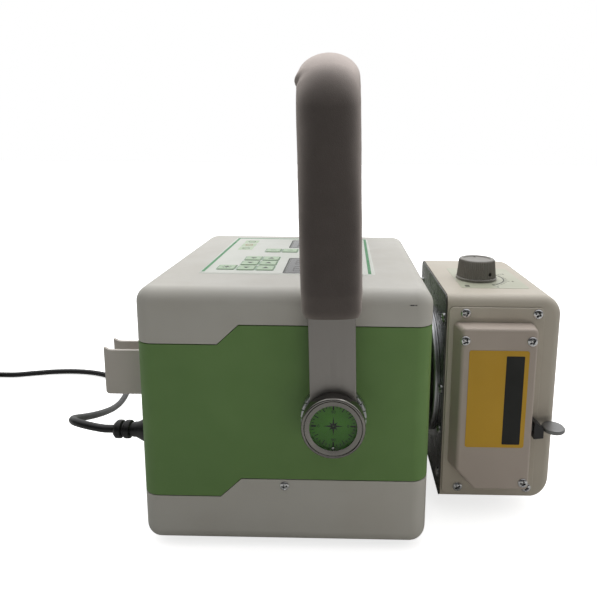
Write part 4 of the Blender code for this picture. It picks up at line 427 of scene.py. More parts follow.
def make_brushed_group():
    """Fine parallel scratches: noise stretched along one direction."""
    tree, start, end = new_group("brushed_lines", [
        ("Stretch", "Vector", (900.0, 900.0, 14.0)), ("Roughness", "Float", 0.35), ("Depth", "Float", 0.000006)],
        [("Roughness", "Float"), ("Normal", "Vector"), ("Streak", "Float")])
    scaled = add_node(tree, "VectorMath", {"operation": "MULTIPLY"}, i0=object_coordinates(tree),
                      i1=start.outputs["Stretch"])
    streak = add_node(tree, "TexNoise", Vector=scaled.outputs[0], Scale=1.0, Detail=3.0, Roughness=0.65)
    uneven = remap(tree, streak.outputs[0], 0.3, 0.7, -0.09, 0.09)
    tree.links.new(math_node(tree, "ADD", start.outputs["Roughness"], uneven, clamp=True), end.inputs["Roughness"])
    bump = add_node(tree, "Bump", Strength=0.6, Distance=start.outputs["Depth"], Height=streak.outputs[0])
    tree.links.new(bump.outputs[0], end.inputs["Normal"])
    tree.links.new(streak.outputs[0], end.inputs["Streak"])
    return tree


def make_foam_group():
    """Closed-cell foam: tiny pits with painted shade in them, a velvety mottle and a little lint."""
    tree, start, end = new_group("foam_pits", [
        ("Colour", "Color", (0.2, 0.2, 0.2, 1)), ("Pit scale", "Float", 1500.0), ("Pit depth", "Float", 0.00012)],
        [("Colour", "Color"), ("Normal", "Vector")])
    spot = object_coordinates(tree)
    pits = add_node(tree, "TexVoronoi", {"feature": "F1"}, Vector=spot, Scale=start.outputs["Pit scale"])
    fuzz = add_node(tree, "TexNoise", Vector=spot, Scale=700.0, Detail=4.0, Roughness=0.7)
    mottle = add_node(tree, "TexNoise", Vector=spot, Scale=55.0, Detail=5.0, Roughness=0.6)
    shade = remap(tree, mottle.outputs[0], 0.32, 0.7, 0.95, 1.05)
    # Painted shade in the pits: the colour darkens towards each pit's middle, where the bump sinks.
    pit_shade = remap(tree, pits.outputs["Distance"], 0.0, 0.5, 0.9, 1.05)
    both = math_node(tree, "MULTIPLY", shade, pit_shade)
    grey = add_node(tree, "CombineColor", Red=both, Green=both, Blue=both)
    tree.links.new(mix_colour(tree, 1.0, start.outputs["Colour"], grey.outputs[0], "MULTIPLY"), end.inputs["Colour"])
    height = math_node(tree, "ADD", pits.outputs["Distance"], fuzz.outputs[0])
    bump = add_node(tree, "Bump", Strength=0.8, Distance=start.outputs["Pit depth"], Height=height)
    tree.links.new(bump.outputs[0], end.inputs["Normal"])
    return tree


MOULDED = make_moulded_group()
WORN = make_worn_edge_group()
SHADE_AND_DIRT = make_settled_dust_group()
BRUSHED = make_brushed_group()
FOAM = make_foam_group()


def linear(red, green, blue):
    """A colour given as 0 to 255 screen values."""
    def convert(value):
        share = value / 255
        return share / 12.92 if share <= 0.04045 else ((share + 0.055) / 1.055) ** 2.4
    return (convert(red), convert(green), convert(blue), 1.0)


def new_material(name, **settings):
    """A material with one Principled shader. Settings fill the shader's own sockets."""
    material = bpy.data.materials.new(name)
    material.use_nodes = True
    tree = material.node_tree
    shader = tree.nodes["Principled BSDF"]
    for key, value in settings.items():
        shader.inputs[key.replace("_", " ")].default_value = value
    return material, tree, shader


def use_group(tree, group, **values):
    return add_node(tree, "Group", {"node_tree": group}, **values)


def link_surface(tree, shader, base, surface):
    """Link a base colour, and a surface group's roughness and normal, to the shader."""
    tree.links.new(base, shader.inputs["Base Color"])
    for name in ("Roughness", "Normal"):
        tree.links.new(surface.outputs[name], shader.inputs[name])


def moulded_material(name, colour, tone, roughness=0.5, scale=900.0, depth=0.00002, patchiness=0.08, dust=0.35,
                     grime=(60, 56, 50), wear=0.0, worn_colour=(200, 198, 194), **settings):
    """A moulded or painted finish with grain, tone, painted shade with some grime in its corners and seams (pale dust
    instead where the corner colour is paler than the finish) and, if asked, rubbed edges.
    """
    material, tree, shader = new_material(name, **settings)
    surface = use_group(tree, MOULDED, Colour=linear(*colour), Tone=linear(*tone), Grain_scale=scale, Grain_depth=depth,
                        Roughness=roughness, Patchiness=patchiness)
    finish = surface.outputs["Colour"]
    # Painted shade: the corner colour is mixed in where occlusion finds corners and seams; a paler corner colour gives
    # dust instead.
    if dust:
        mask = use_group(tree, SHADE_AND_DIRT, Amount=dust).outputs["Mask"]
        finish = mix_colour(tree, mask, finish, linear(*grime))
    if wear:
        mask = use_group(tree, WORN, Amount=wear).outputs["Mask"]
        finish = mix_colour(tree, mask, finish, linear(*worn_colour))
    link_surface(tree, shader, finish, surface)
    return material


def brushed_material(name, colour, roughness=0.35, stretch=(900.0, 900.0, 14.0), depth=0.000006, dust=0.3,
                     streaks=(0.9, 1.06), **settings):
    """Bare metal with brush lines, and painted shade with some grime in its corners and recesses."""
    material, tree, shader = new_material(name, Metallic=1.0, **settings)
    lines = use_group(tree, BRUSHED, Stretch=stretch, Roughness=roughness, Depth=depth)
    shade = remap(tree, lines.outputs["Streak"], 0.3, 0.7, *streaks)
    grey = add_node(tree, "CombineColor", Red=shade, Green=shade, Blue=shade)
    base = mix_colour(tree, 1.0, linear(*colour), grey.outputs[0], "MULTIPLY")
    # Painted shade: a dark colour mixed in where occlusion finds corners, notches and screw recesses.
    mask = use_group(tree, SHADE_AND_DIRT, Reach=0.003, Amount=dust).outputs["Mask"]
    base = mix_colour(tree, mask, base, linear(40, 38, 36))
    link_surface(tree, shader, base, lines)
    return material


def make_foam_material():
    """Dark foam with painted sheen and painted light: its colour is painted paler where the skin is seen at a slant,
    and paler still on faces that point up the handle, as if lit from above.
    """
    material, tree, shader = new_material(
        "grip_foam", Roughness=0.95, Sheen_Weight=0.5, Sheen_Roughness=0.4, Sheen_Tint=linear(240, 230, 224))
    # Painted sheen and light: the pale colour is mixed in at a slant and on faces that point up the handle, where light
    # from above falls.
    grazing_sheen = remap(tree, add_node(tree, "LayerWeight", Blend=0.5).outputs["Facing"], 0.04, 0.60, 0.0, 1.0, smooth=True)
    direction = add_node(tree, "SeparateXYZ", Vector=add_node(tree, "TexCoord").outputs["Normal"])
    upward = remap(tree, direction.outputs[2], 0.05, 0.95, 0.0, 1.0)
    share = math_node(tree, "MULTIPLY", grazing_sheen, math_node(tree, "ADD", math_node(tree, "MULTIPLY", upward, 0.7), 0.3))
    painted_sheen_share = math_node(tree, "ADD", share, math_node(tree, "MULTIPLY", upward, 0.4), clamp=True)
    pits = use_group(tree, FOAM, Colour=mix_colour(tree, painted_sheen_share, linear(92, 85, 82), linear(226, 214, 208)))
    # Painted shade with some grime: a darker colour mixed in where occlusion finds the creases and the inside of the
    # bends.
    mask = use_group(tree, SHADE_AND_DIRT, Reach=0.004, Amount=0.5).outputs["Mask"]
    tree.links.new(mix_colour(tree, mask, pits.outputs["Colour"], linear(38, 35, 33)), shader.inputs["Base Color"])
    tree.links.new(pits.outputs["Normal"], shader.inputs["Normal"])
    return material


def make_clear_material(name, tint, roughness=0.03, bend=1.46, smears=0.08):
    """Clear plastic or glass: plain transmission, with faint smears in its gloss."""
    material, tree, shader = new_material(name, Base_Color=tint, Transmission_Weight=1.0, IOR=bend)
    smear = add_node(tree, "TexNoise", Vector=object_coordinates(tree), Scale=120.0, Detail=4.0, Roughness=0.6)
    tree.links.new(remap(tree, smear.outputs[0], 0.4, 0.8, roughness, roughness + smears), shader.inputs["Roughness"])
    return material


def make_cover_material():
    """The white covers, with one dark scuff on the near face of the top cover."""
    material = moulded_material("cover_white", (204, 202, 195), (199, 196, 188), roughness=0.46, scale=1100.0,
                                depth=0.000016, dust=0.3, Specular_IOR_Level=0.3)
    tree = material.node_tree
    shader = tree.nodes["Principled BSDF"]
    finish = shader.inputs["Base Color"].links[0].from_socket
    spot = add_node(tree, "SeparateXYZ", Vector=object_coordinates(tree))
    scuff = place(0.2224, NEAR_WALL, 0.2115)
    breaks = add_node(tree, "TexNoise", Vector=object_coordinates(tree), Scale=900.0, Detail=3.0)
    masks = [remap(tree, breaks.outputs[0], 0.3, 0.5, 0.3, 1.0)]
    for axis, middle, half in ((0, scuff.x, 0.0032), (2, scuff.z, 0.0005), (1, scuff.y, 0.003)):
        offset = math_node(tree, "ABSOLUTE", math_node(tree, "SUBTRACT", spot.outputs[axis], middle))
        masks.append(remap(tree, offset, half * 0.7, half * 1.1, 1.0, 0.0))
    mask = masks[0]
    for other in masks[1:]:
        mask = math_node(tree, "MULTIPLY", mask, other)
    tree.links.new(mix_colour(tree, mask, finish, linear(58, 54, 52)), shader.inputs["Base Color"])
    return material


def make_cord_material():
    """Extruded black sheath: a fine grain, a faint uneven tone and a soft gloss."""
    material, tree, shader = new_material("lead_black", Coat_Weight=0.1, Coat_Roughness=0.3)
    surface = use_group(tree, MOULDED, Colour=linear(17, 17, 18), Tone=linear(25, 25, 26), Grain_scale=700.0,
                        Grain_depth=0.00001, Roughness=0.42, Patchiness=0.08)
    link_surface(tree, shader, surface.outputs["Colour"], surface)
    return material


MATERIALS = {
    "cover_white": make_cover_material(),
    "tube_glass": make_clear_material("tube_glass", linear(225, 238, 232)),
    "window_clear": make_clear_material("window_clear", linear(236, 242, 238), 0.05),
    "lens_clear": make_clear_material("lens_clear", linear(250, 252, 250), 0.0, 1.25, 0.01),
    "grip_foam": make_foam_material(),
    "lead_black": make_cord_material(),
}
NO_SHADE_AND_DIRT = {"dust": 0.0}

# Name, colour, tone, roughness, grain scale and depth, and what else the finish has
for label, *values, extra in (
    ("band_green", (113, 150, 84), (107, 144, 79), 0.5, 1100.0, 0.000016, {"dust": 0.3}),
    ("foot_rubber", (34, 33, 32), (44, 42, 41), 0.85, 600.0, 0.00004, {"dust": 0.5, "grime": (96, 92, 86)}),
    ("panel_film", (214, 216, 208), (208, 211, 202), 0.38, 1600.0, 0.000006, {"dust": 0.2}),
    ("display_window", (22, 23, 25), (28, 29, 30), 0.12, 300.0, 0.000002,
     {"patchiness": 0.06, "dust": 0.2, "grime": (70, 70, 70)}),
    ("key_film", (176, 200, 168), (168, 192, 160), 0.36, 1600.0, 0.000006, {"dust": 0.3}),
    ("vessel_plastic", (176, 176, 170), (166, 166, 160), {}),
    ("transformer_core", (92, 70, 52), (78, 60, 46), 0.5, 500.0, 0.00006, {}),
    ("circuit_board", (38, 92, 52), (30, 80, 44), 0.35, 400.0, {}),
    ("collar_black", (30, 30, 31), (38, 38, 38), 0.4, {"wear": 0.3}),
    ("collimator_cream", (202, 195, 182), (196, 188, 174), 0.48, 620.0, 0.00003,
     {"wear": 0.18, "worn_colour": (222, 220, 212), "Specular_IOR_Level": 0.3}),
    ("side_box_cream", (196, 184, 174), (190, 178, 168), 0.48, 620.0, 0.00003,
     {"wear": 0.18, "worn_colour": (214, 208, 200), "Specular_IOR_Level": 0.3}),
    ("rear_plate_dark", (62, 62, 58), (54, 54, 50), 0.26, 500.0, {"wear": 0.3}),
    ("tape_outlet_black", (30, 30, 31), (38, 38, 39), 0.42, {"wear": 0.2, "worn_colour": (120, 120, 118)}),
    ("lamp_black", (42, 42, 44), (50, 50, 52), {}),
    # The knob and hub rows mix a near-black corner colour: painted shade between the knob's ribs and in the cap's
    # groove.
    ("knob_grey", (142, 139, 133), (134, 131, 125), 0.4,
     {"dust": 0.6, "grime": (30, 29, 28), "wear": 0.35, "worn_colour": (170, 168, 162)}),
    ("hub_grey", (146, 143, 139), (138, 135, 131), 0.22, 900.0, 0.000002,
     {"dust": 0.5, "grime": (34, 34, 33), "wear": 0.2, "worn_colour": (214, 214, 212), "Metallic": 0.93}),
    ("holder_white", (212, 205, 198), (205, 198, 190), 0.42, 1000.0, 0.000014, {}),
    ("inlet_black", (30, 30, 31), (37, 37, 38), 0.45, {"wear": 0.2, "worn_colour": (110, 110, 108)}),
    ("connector_black", (20, 20, 21), (26, 26, 27), 0.4, 800.0, {"wear": 0.2, "worn_colour": (90, 90, 88)}),
    ("dial_green", (88, 164, 40), (80, 156, 36), 0.5, 1500.0, 0.000006, {}),
    ("plate_yellow", (214, 167, 36), (206, 159, 33), 0.4, 1400.0, 0.000006, {"dust": 0.3}),
    ("scale_film", (190, 190, 172), (182, 184, 164), 0.42, 1500.0, 0.000008, {"dust": 0.25}),
    ("tie_black", (28, 28, 30), (40, 40, 42), 0.7, 700.0, 0.00005, {}),
    ("ink_dark", (44, 46, 44), (56, 58, 55), 0.45, 2000.0, 0.000002, NO_SHADE_AND_DIRT),
    ("ink_black", (14, 16, 13), (20, 22, 18), 0.5, 2000.0, 0.000002, NO_SHADE_AND_DIRT),
    ("ink_green", (38, 132, 72), (48, 140, 80), 0.42, 2000.0, 0.000002, NO_SHADE_AND_DIRT),
    ("ink_red", (176, 52, 44), (166, 60, 50), 0.42, 2000.0, 0.000002, NO_SHADE_AND_DIRT),
    ("ink_pale", (190, 208, 178), (178, 198, 166), 0.42, 2000.0, 0.000002, NO_SHADE_AND_DIRT),
    ("segment_dark", (52, 46, 44), (60, 52, 50), 0.3, 500.0, 0.000002, NO_SHADE_AND_DIRT),
):
    MATERIALS[label] = moulded_material(label, *values, **extra)

# Name, colour, roughness, stretch and depth of the lines, and what else the metal has
for label, *values, extra in (
    ("tray_aluminium", (190, 190, 190), 0.4, (20.0, 900.0, 900.0), {}),
    # The ring row's corner mix paints shade into its notches.
    ("ring_aluminium", (196, 197, 200), 0.36, (500.0, 60.0, 500.0), 0.000002, {"dust": 0.6, "streaks": (0.97, 1.03)}),
    ("tape_steel", (142, 142, 142), 0.42, (700.0, 700.0, 40.0), 0.000002, {"streaks": (0.97, 1.02)}),
    ("blade_steel", (150, 150, 152), 0.4, (700.0, 40.0, 700.0), {}),
    ("mirror_glass", (235, 236, 238), 0.05, (60.0, 60.0, 60.0), 0.000001, {}),
    ("ball_chrome", (215, 215, 218), 0.1, (200.0, 200.0, 200.0), 0.000001, {}),
    ("strap_aluminium", (158, 154, 151), 0.40, (1100.0, 1100.0, 12.0), 0.000002, {"streaks": (0.975, 1.02)}),
    # The screw row's strong corner mix paints shade into the cross recesses.
    ("screw_steel", (226, 226, 228), 0.18, (300.0, 300.0, 300.0), 0.000003, {"dust": 0.95}),
):
    MATERIALS[label] = brushed_material(label, *values, **extra)


def dress_nodes():
    """Give every node of the frame the finish of its slot."""
    slots = {entry["node"]: entry["material_slot"] for entry in frame["record"]["subparts"]}
    for name, node in frame["nodes"].items():
        finish = MATERIALS[slots[name]]
        if not node.material_slots:
            node.data.materials.append(finish)
        for entry in node.material_slots:
            entry.material = finish


# Camera and light

def add_camera():
    data = bpy.data.cameras.new("camera")
    data.sensor_width = SENSOR
    data.lens = FOCAL_PIXELS / IMAGE_SIZE * SENSOR
    data.shift_x = (IMAGE_SIZE / 2 - CENTRE_COLUMN) / IMAGE_SIZE
    data.shift_y = (CENTRE_ROW - IMAGE_SIZE / 2) / IMAGE_SIZE
    data.clip_start = 0.01
    camera = link_object("camera", data)
    level = math.cos(CAMERA_PITCH)
    forward = Vector((math.sin(CAMERA_YAW) * level, math.cos(CAMERA_YAW) * level, -math.sin(CAMERA_PITCH)))
    right = Vector((math.cos(CAMERA_YAW), -math.sin(CAMERA_YAW), 0.0))
    down = forward.cross(right)
    turned_right = right * math.cos(CAMERA_ROLL) - down * math.sin(CAMERA_ROLL)
    turned_down = down * math.cos(CAMERA_ROLL) + right * math.sin(CAMERA_ROLL)
    rotation = Matrix((turned_right, -turned_down, -forward)).transposed()
    camera.matrix_world = Matrix.Translation(place(*CAMERA_PLACE)) @ rotation.to_4x4()
    bpy.context.scene.camera = camera


def add_area_light(name, spot, target, size, power, colour=(1.0, 1.0, 1.0)):
    data = bpy.data.lights.new(name, "AREA")
    data.shape = "RECTANGLE"
    data.size, data.size_y = size
    data.energy = power
    data.color = colour
    light = link_object(name, data)
    light.location = spot
    light.rotation_euler = (Vector(target) - Vector(spot)).to_track_quat("-Z", "Y").to_euler()
    return light


def add_studio():
    """A white tent that is bright above and behind and dim towards the camera, on a pale floor."""
    scene = bpy.context.scene
    scene.view_settings.view_transform = "Standard"
    world = bpy.data.worlds.new("white_tent")
    scene.world = world
    world.use_nodes = True
    tree = world.node_tree
    tree.nodes.clear()
    direction = add_node(tree, "SeparateXYZ", Vector=add_node(tree, "TexCoord").outputs["Generated"])
    lean = math_node(tree, "ADD", math_node(tree, "MULTIPLY", direction.outputs[1], 0.62),
                     math_node(tree, "MULTIPLY", direction.outputs[2], 0.78))
    side = math_node(tree, "MULTIPLY", direction.outputs[0], 0.14)
    bright = remap(tree, math_node(tree, "ADD", lean, side), -0.10, 0.75, 0.04, 1.05, smooth=True)
    grey = add_node(tree, "CombineColor", Red=bright, Green=bright, Blue=bright)
    tent = add_node(tree, "Background", Color=grey.outputs[0], Strength=1.0)
    white = add_node(tree, "Background", Color=(1.0, 1.0, 1.0, 1.0), Strength=1.0)
    path = add_node(tree, "LightPath")
    both = add_node(tree, "MixShader", i0=path.outputs["Is Camera Ray"], i1=tent.outputs[0], i2=white.outputs[0])
    add_node(tree, "OutputWorld", Surface=both.outputs[0])

    add_area_light("top_panel", (0.15, 0.45, 1.5), (0.0, 0.05, 0.1), (1.4, 1.0), 9.0)
    low_fill = add_area_light("low_fill", (0.26, -0.50, 0.02), (0.14, -0.05, 0.01), (0.4, 0.06), 0.21,
                              (1.0, 0.93, 0.85))
    low_fill.visible_glossy = False

    material, ground, shader = new_material("pale_floor", Roughness=0.9, Emission_Strength=0.75)
    camera_ray = add_node(ground, "LightPath").outputs["Is Camera Ray"]
    for socket, lit, seen in (("Base Color", (0.50, 0.50, 0.48, 1.0), (0.88, 0.88, 0.88, 1.0)),
                              ("Emission Color", (0.0, 0.0, 0.0, 1.0), (1.0, 1.0, 1.0, 1.0))):
        ground.links.new(mix_colour(ground, camera_ray, lit, seen), shader.inputs[socket])

    def build(work):
        work.faces.new([work.verts.new((x, y, TABLE - 0.0002)) for x, y in rectangle(-8.0, -8.0, 8.0, 8.0)])

    floor = link_object("floor", build_mesh("floor", build))
    floor.data.materials.append(material)


# Fine outer pieces

def loft(work, rings, closed=False):
    """Join rings with the same count of points. An open stack of rings is capped at both its ends."""
    loops = [[work.verts.new(point) for point in ring] for ring in rings]
    for first, second in zip(loops, loops[1:] + (loops[:1] if closed else [])):
        rim_faces(work, first, second)
    if not closed:
        work.faces.new(list(reversed(loops[0])))
        work.faces.new(loops[-1])


def turned(profile, steps, closed=False):
    """A turned form round z, with a ring for each radius and height. On the axis a ring keeps a hair's width."""
    return lambda work: loft(work, [[(x, y, height) for x, y in circle(max(radius, AXIS_RADIUS), steps)]
                                    for radius, height in profile], closed)


def box_tool(low, high):
    def build(work):
        middle = (Vector(low) + Vector(high)) / 2
        size = Matrix.Diagonal((*(Vector(high) - Vector(low)), 1.0))
        bmesh.ops.create_cube(work, size=1.0, matrix=Matrix.Translation(middle) @ size)
    return build


def bore_tool(radius, middle, axis, length=0.02, steps=64):
    """A cylinder along one axis, as a cutting tool."""
    turn = Matrix.Rotation(0.0 if axis == "Z" else math.pi / 2, 4, {"X": "Y", "Y": "X", "Z": "Z"}[axis])

    def build(work):
        bmesh.ops.create_cone(work, cap_ends=True, segments=steps, radius1=radius, radius2=radius, depth=length,
                              matrix=Matrix.Translation(middle) @ turn)
    return build


def round_edges(source, width, segments, angle):
    rounding = source.modifiers.new("rounding", "BEVEL")
    rounding.width = width
    rounding.segments = segments
    rounding.limit_method = "ANGLE"
    rounding.angle_limit = math.radians(angle)


def cuts(*tools):
    return [("DIFFERENCE", tool) for tool in tools]


def fine_piece(name, build, body, slot, replaces, tools=(), sharp=30, bevel=0.0, segments=3, late_bevel=0.0,
               matrix=None, finish=None):
    """A smooth piece with openings cut by tools. Its large flat faces keep their own direction in the shading."""
    source = link_object(name + "_source", build_mesh(name + "_source", build))
    if bevel:
        round_edges(source, bevel, segments, sharp)
    helpers = []
    for index, (operation, tool) in enumerate(tools):
        helper = link_object(f"{name}_tool_{index}", build_mesh(f"{name}_tool_{index}", tool))
        change = source.modifiers.new(f"cut_{index}", "BOOLEAN")
        change.operation = operation
        change.solver = "EXACT"
        change.object = helper
        helpers.append(helper)
    if late_bevel:
        round_edges(source, late_bevel, segments, sharp)
    mesh = bake(source)
    for helper in helpers:
        bpy.data.objects.remove(helper, do_unlink=True)
    mesh.shade_smooth()
    mesh.set_sharp_from_angle(angle=math.radians(sharp))
    holder = link_object(name + "_even", mesh)
    even = holder.modifiers.new("even", "WEIGHTED_NORMAL")
    even.keep_sharp = True
    even.weight = 100
    return attach(name, bake(holder), body, slot, matrix, replaces, finish)


def quarter(steps=10):
    """Shares of a quarter round: how far it lies in, and how far along, from its flat end to its upright end."""
    return [(1 - math.sin(math.pi / 2 * s / steps), 1 - math.cos(math.pi / 2 * s / steps)) for s in range(steps + 1)]


def housing_ring(inset, level):
    """One level of the housing, from the front far corner round. A level is a height, or a height for each x."""
    length, width = BODY_SIZE[:2]
    radius = max(HOUSING_CORNER - inset, 0.0005)
    near, far = -width / 2 + inset, width / 2 - inset
    front_x, rear_x, far_y, near_y = length - inset - radius, inset + radius, far - radius, near + radius
    points = corner_arc((front_x, far_y), radius, 0) + [(SEAM_RISE_X[1], far), (SEAM_RISE_X[0], far)]
    points += corner_arc((rear_x, far_y), radius, 90) + corner_arc((rear_x, near_y), radius, 180)
    points += [(SEAM_RISE_X[0], near), (SEAM_RISE_X[1], near)] + corner_arc((front_x, near_y), radius, 270)
    return [place(x, y, level(x) if callable(level) else level) for x, y in points]


def seam(number, shift):
    """Height of a parting line over x, moved up or down by a shift."""
    def level(x):
        share = min(max((x - SEAM_RISE_X[0]) / (SEAM_RISE_X[1] - SEAM_RISE_X[0]), 0.0), 1.0)
        return SEAM_LEVELS[number] + SEAM_RISE * share + shift
    return level


def cover_rings(number, upward):
    """Rings of a cover: its outer face from the flat end to the seam, the seam's edge and back along the inside."""
    height = BODY_SIZE[2]
    sign = -1 if upward else 1
    flip = (lambda z: height - z) if upward else (lambda z: z)
    lip = sign * -SEAM_HALF_GAP
    rings = [housing_ring(HOUSING_EDGE * inward, flip(HOUSING_EDGE * along)) for inward, along in quarter()]
    edge = ((0.0, SEAM_EDGE), (SEAM_EDGE * 0.3, SEAM_EDGE * 0.3), (SEAM_EDGE, 0.0), (HOUSING_WALL, 0.0))
    rings += [housing_ring(inset, seam(number, lip - sign * back)) for inset, back in edge]
    inner = HOUSING_EDGE - HOUSING_WALL
    rings += [housing_ring(HOUSING_WALL + inner * inward, flip(HOUSING_WALL + inner * along))
              for inward, along in reversed(quarter(4))]
    return rings


def add_housing():
    """The two white covers and the green band between them, with their openings."""
    far_y = BODY_SIZE[1] / 2
    bores = [bore_tool(COVER_SCREW_BORE, place(COVER_SCREW_X, y, 0.0547), "Y") for y in (-far_y, far_y)]
    fine_piece("base_cover_skin", lambda work: loft(work, cover_rings(0, False)), "housing", "cover_white",
               ("base_cover",), cuts(*bores))
    low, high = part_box("panel_sheet")

    def pocket(work):
        outline = rounded(low.x - FIT, low.y - FIT, high.x + FIT, high.y + FIT, 0.004, 8)
        prism(work, outline, UNDERSIDE + PANEL_POCKET_FLOOR, UNDERSIDE + 0.24)
    fine_piece("top_cover_skin", lambda work: loft(work, cover_rings(1, True)), "housing", "cover_white",
               ("top_cover",), cuts(pocket))
    gap, edge = SEAM_HALF_GAP, SEAM_EDGE
    band = [(0.0, 0, gap + edge), (0.0, 1, -gap - edge), (edge * 0.3, 1, -gap - edge * 0.3), (edge, 1, -gap),
            (HOUSING_WALL, 1, -gap), (HOUSING_WALL, 0, gap), (edge, 0, gap), (edge * 0.3, 0, gap + edge * 0.3)]
    openings = []
    for y, half, tall in (INLET_SLEEVE, ROCKER_SLEEVE):
        reach, rise, level = half + SLEEVE_ROOM, tall + SLEEVE_ROOM, UNDERSIDE + INLET[1]
        openings.append(box_tool((REAR_WALL - 0.01, y - reach, level - rise),
                                 (REAR_WALL + 0.01, y + reach, level + rise)))
    openings += [bore_tool(HUB_BORE, place(PIVOT[0], y, PIVOT[1]), "Y") for y in (-far_y, far_y)]
    openings.append(bore_tool(PORT_BORE, place(BODY_SIZE[0], 0.0, BEAM_Z - UNDERSIDE), "X"))
    fine_piece("middle_band_skin",
               lambda work: loft(work, [housing_ring(inset, seam(n, shift)) for inset, n, shift in band], closed=True),
               "housing", "band_green", ("middle_band",), cuts(*openings))


def shell_section(rim, lower, wall=0.0, rear=0.0):
    """The collimator from the side, drawn in by its rim and wall: x and z, with round front corners."""
    low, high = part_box("collimator_shell")
    front, bottom, top = high.x - wall - rim, low.z + wall + rim * lower, high.z - wall - rim
    radius = SHELL_FRONT_RADIUS - wall - rim
    return ([(low.x - rear, top), (low.x - rear, bottom)]
            + corner_arc((front - radius, bottom + radius), radius, -90, 12)
            + corner_arc((front - radius, top - radius), radius, 0, 12))


def shell_rings(wall=0.0, rear=0.0):
    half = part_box("collimator_shell")[1].y - wall
    edge = SHELL_RIM - wall
    lower = 1.0 if wall else SHELL_LOWER_RIM / SHELL_RIM
    rings = []
    for side in (-1, 1):
        for step in range(11):
            angle = math.radians(9 * step if side < 0 else 90 - 9 * step)
            y = side * (half - edge + edge * math.cos(angle))
            rings.append([(x, y, z) for x, z in shell_section(edge * (1 - math.sin(angle)), lower, wall, rear)])
    return rings


def add_collimator():
    """The cream shell with its rounded rims, the rear plate and the side plate."""
    low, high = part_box("collimator_shell")
    window_low, window_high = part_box("front_window")
    lip, fit, forward = Vector((0.0, 0.003, 0.003)), Vector((FIT, FIT, FIT)), high.x + 0.02
    knob = sum(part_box("top_knob"), Vector()) / 2

    def window_tool(start_x, margin):
        return box_tool((start_x, *(window_low + margin).yz), (forward, *(window_high - margin).yz))
    fine_piece("collimator_skin", lambda work: loft(work, shell_rings()), "collimator", "collimator_cream",
               ("collimator_shell",), cuts(
                   lambda work: loft(work, shell_rings(SHELL_WALL, 0.02)), window_tool(high.x - 0.02, lip),
                   window_tool(window_low.x - FIT, -fit), bore_tool(KNOB_SHAFT_BORE, (knob.x, knob.y, high.z), "Z"),
                   bore_tool(KNOB_SHAFT_BORE, (knob.x, high.y, BEAM_Z), "Y")))

    rear_low, rear_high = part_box("collimator_rear_plate")
    corner_y, corner_z = rear_high.y - SHELL_RIM, rear_high.z - SHELL_RIM
    rear = ([(-rear_high.y, rear_low.z), (rear_high.y, rear_low.z)] + corner_arc((corner_y, corner_z), SHELL_RIM, 0)
            + corner_arc((-corner_y, corner_z), SHELL_RIM, 90))
    fine_piece("rear_plate_sheet",
               lambda work: loft(work, [[(x, y, z) for y, z in rear] for x in (rear_low.x, rear_high.x)]), "collimator",
               "rear_plate_dark", ("collimator_rear_plate",), cuts(bore_tool(0.031, (rear_low.x, 0.0, BEAM_Z), "X")),
               bevel=0.0003)

    plate_low, plate_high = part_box("side_plate")
    side = rounded(plate_low.x, plate_low.z, plate_high.x, plate_high.z, 0.005, 8)
    fine_piece("side_plate_sheet",
               lambda work: loft(work, [[(x, y, z) for x, z in side] for y in (plate_high.y, plate_low.y)]),
               "collimator", "collimator_cream", ("side_plate",), bevel=0.0005)


def add_side_box():
    """The hollow box on the side plate, with one corner cut off, a leaning rear face and the tape's slit."""
    low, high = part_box("side_box")
    depth = high.y - low.y
    tab_low, tab_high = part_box("tape_tab")

    def outline(inset):
        radius, chamfer = 0.004, 0.020 - inset * 0.4
        rear, front, bottom, top = low.x + inset, high.x - inset, low.z + inset, high.z - inset
        points = [(rear + chamfer, bottom)]
        for x, z, start in ((front - radius, bottom + radius, -90), (front - radius, top - radius, 0),
                            (rear + radius, top - radius, 90)):
            points += corner_arc((x, z), radius, start, 6)
        return points + [(rear, bottom + chamfer)]

    def form(inset, spare, deep):
        rings = []
        for share in (0, 1):
            y = high.y + spare - (deep + spare) * share
            rings.append([(x + share * 0.006 * max(0.0, 1 - (x - low.x) / (high.x - low.x)) ** 2, y, z)
                          for x, z in outline(inset + 0.0016 * share)])
        return lambda work: loft(work, rings)
    room = Vector((0.01, 0.0, 0.01))
    fine_piece("side_box_skin", form(0.0, 0.006, depth), "collimator", "collimator_cream", ("side_box",), cuts(
        box_tool((low.x - 0.01, high.y, low.z - 0.01), high + room + Vector((0.0, 0.02, 0.0))),
        form(SIDE_BOX_WALL, 0.004, depth - SIDE_BOX_WALL),
        box_tool((high.x - 0.01, -0.0885, tab_low.z - 0.002), (high.x + 0.02, -0.0835, tab_high.z + 0.002))),
        bevel=0.0024, segments=5, finish="side_box_cream")


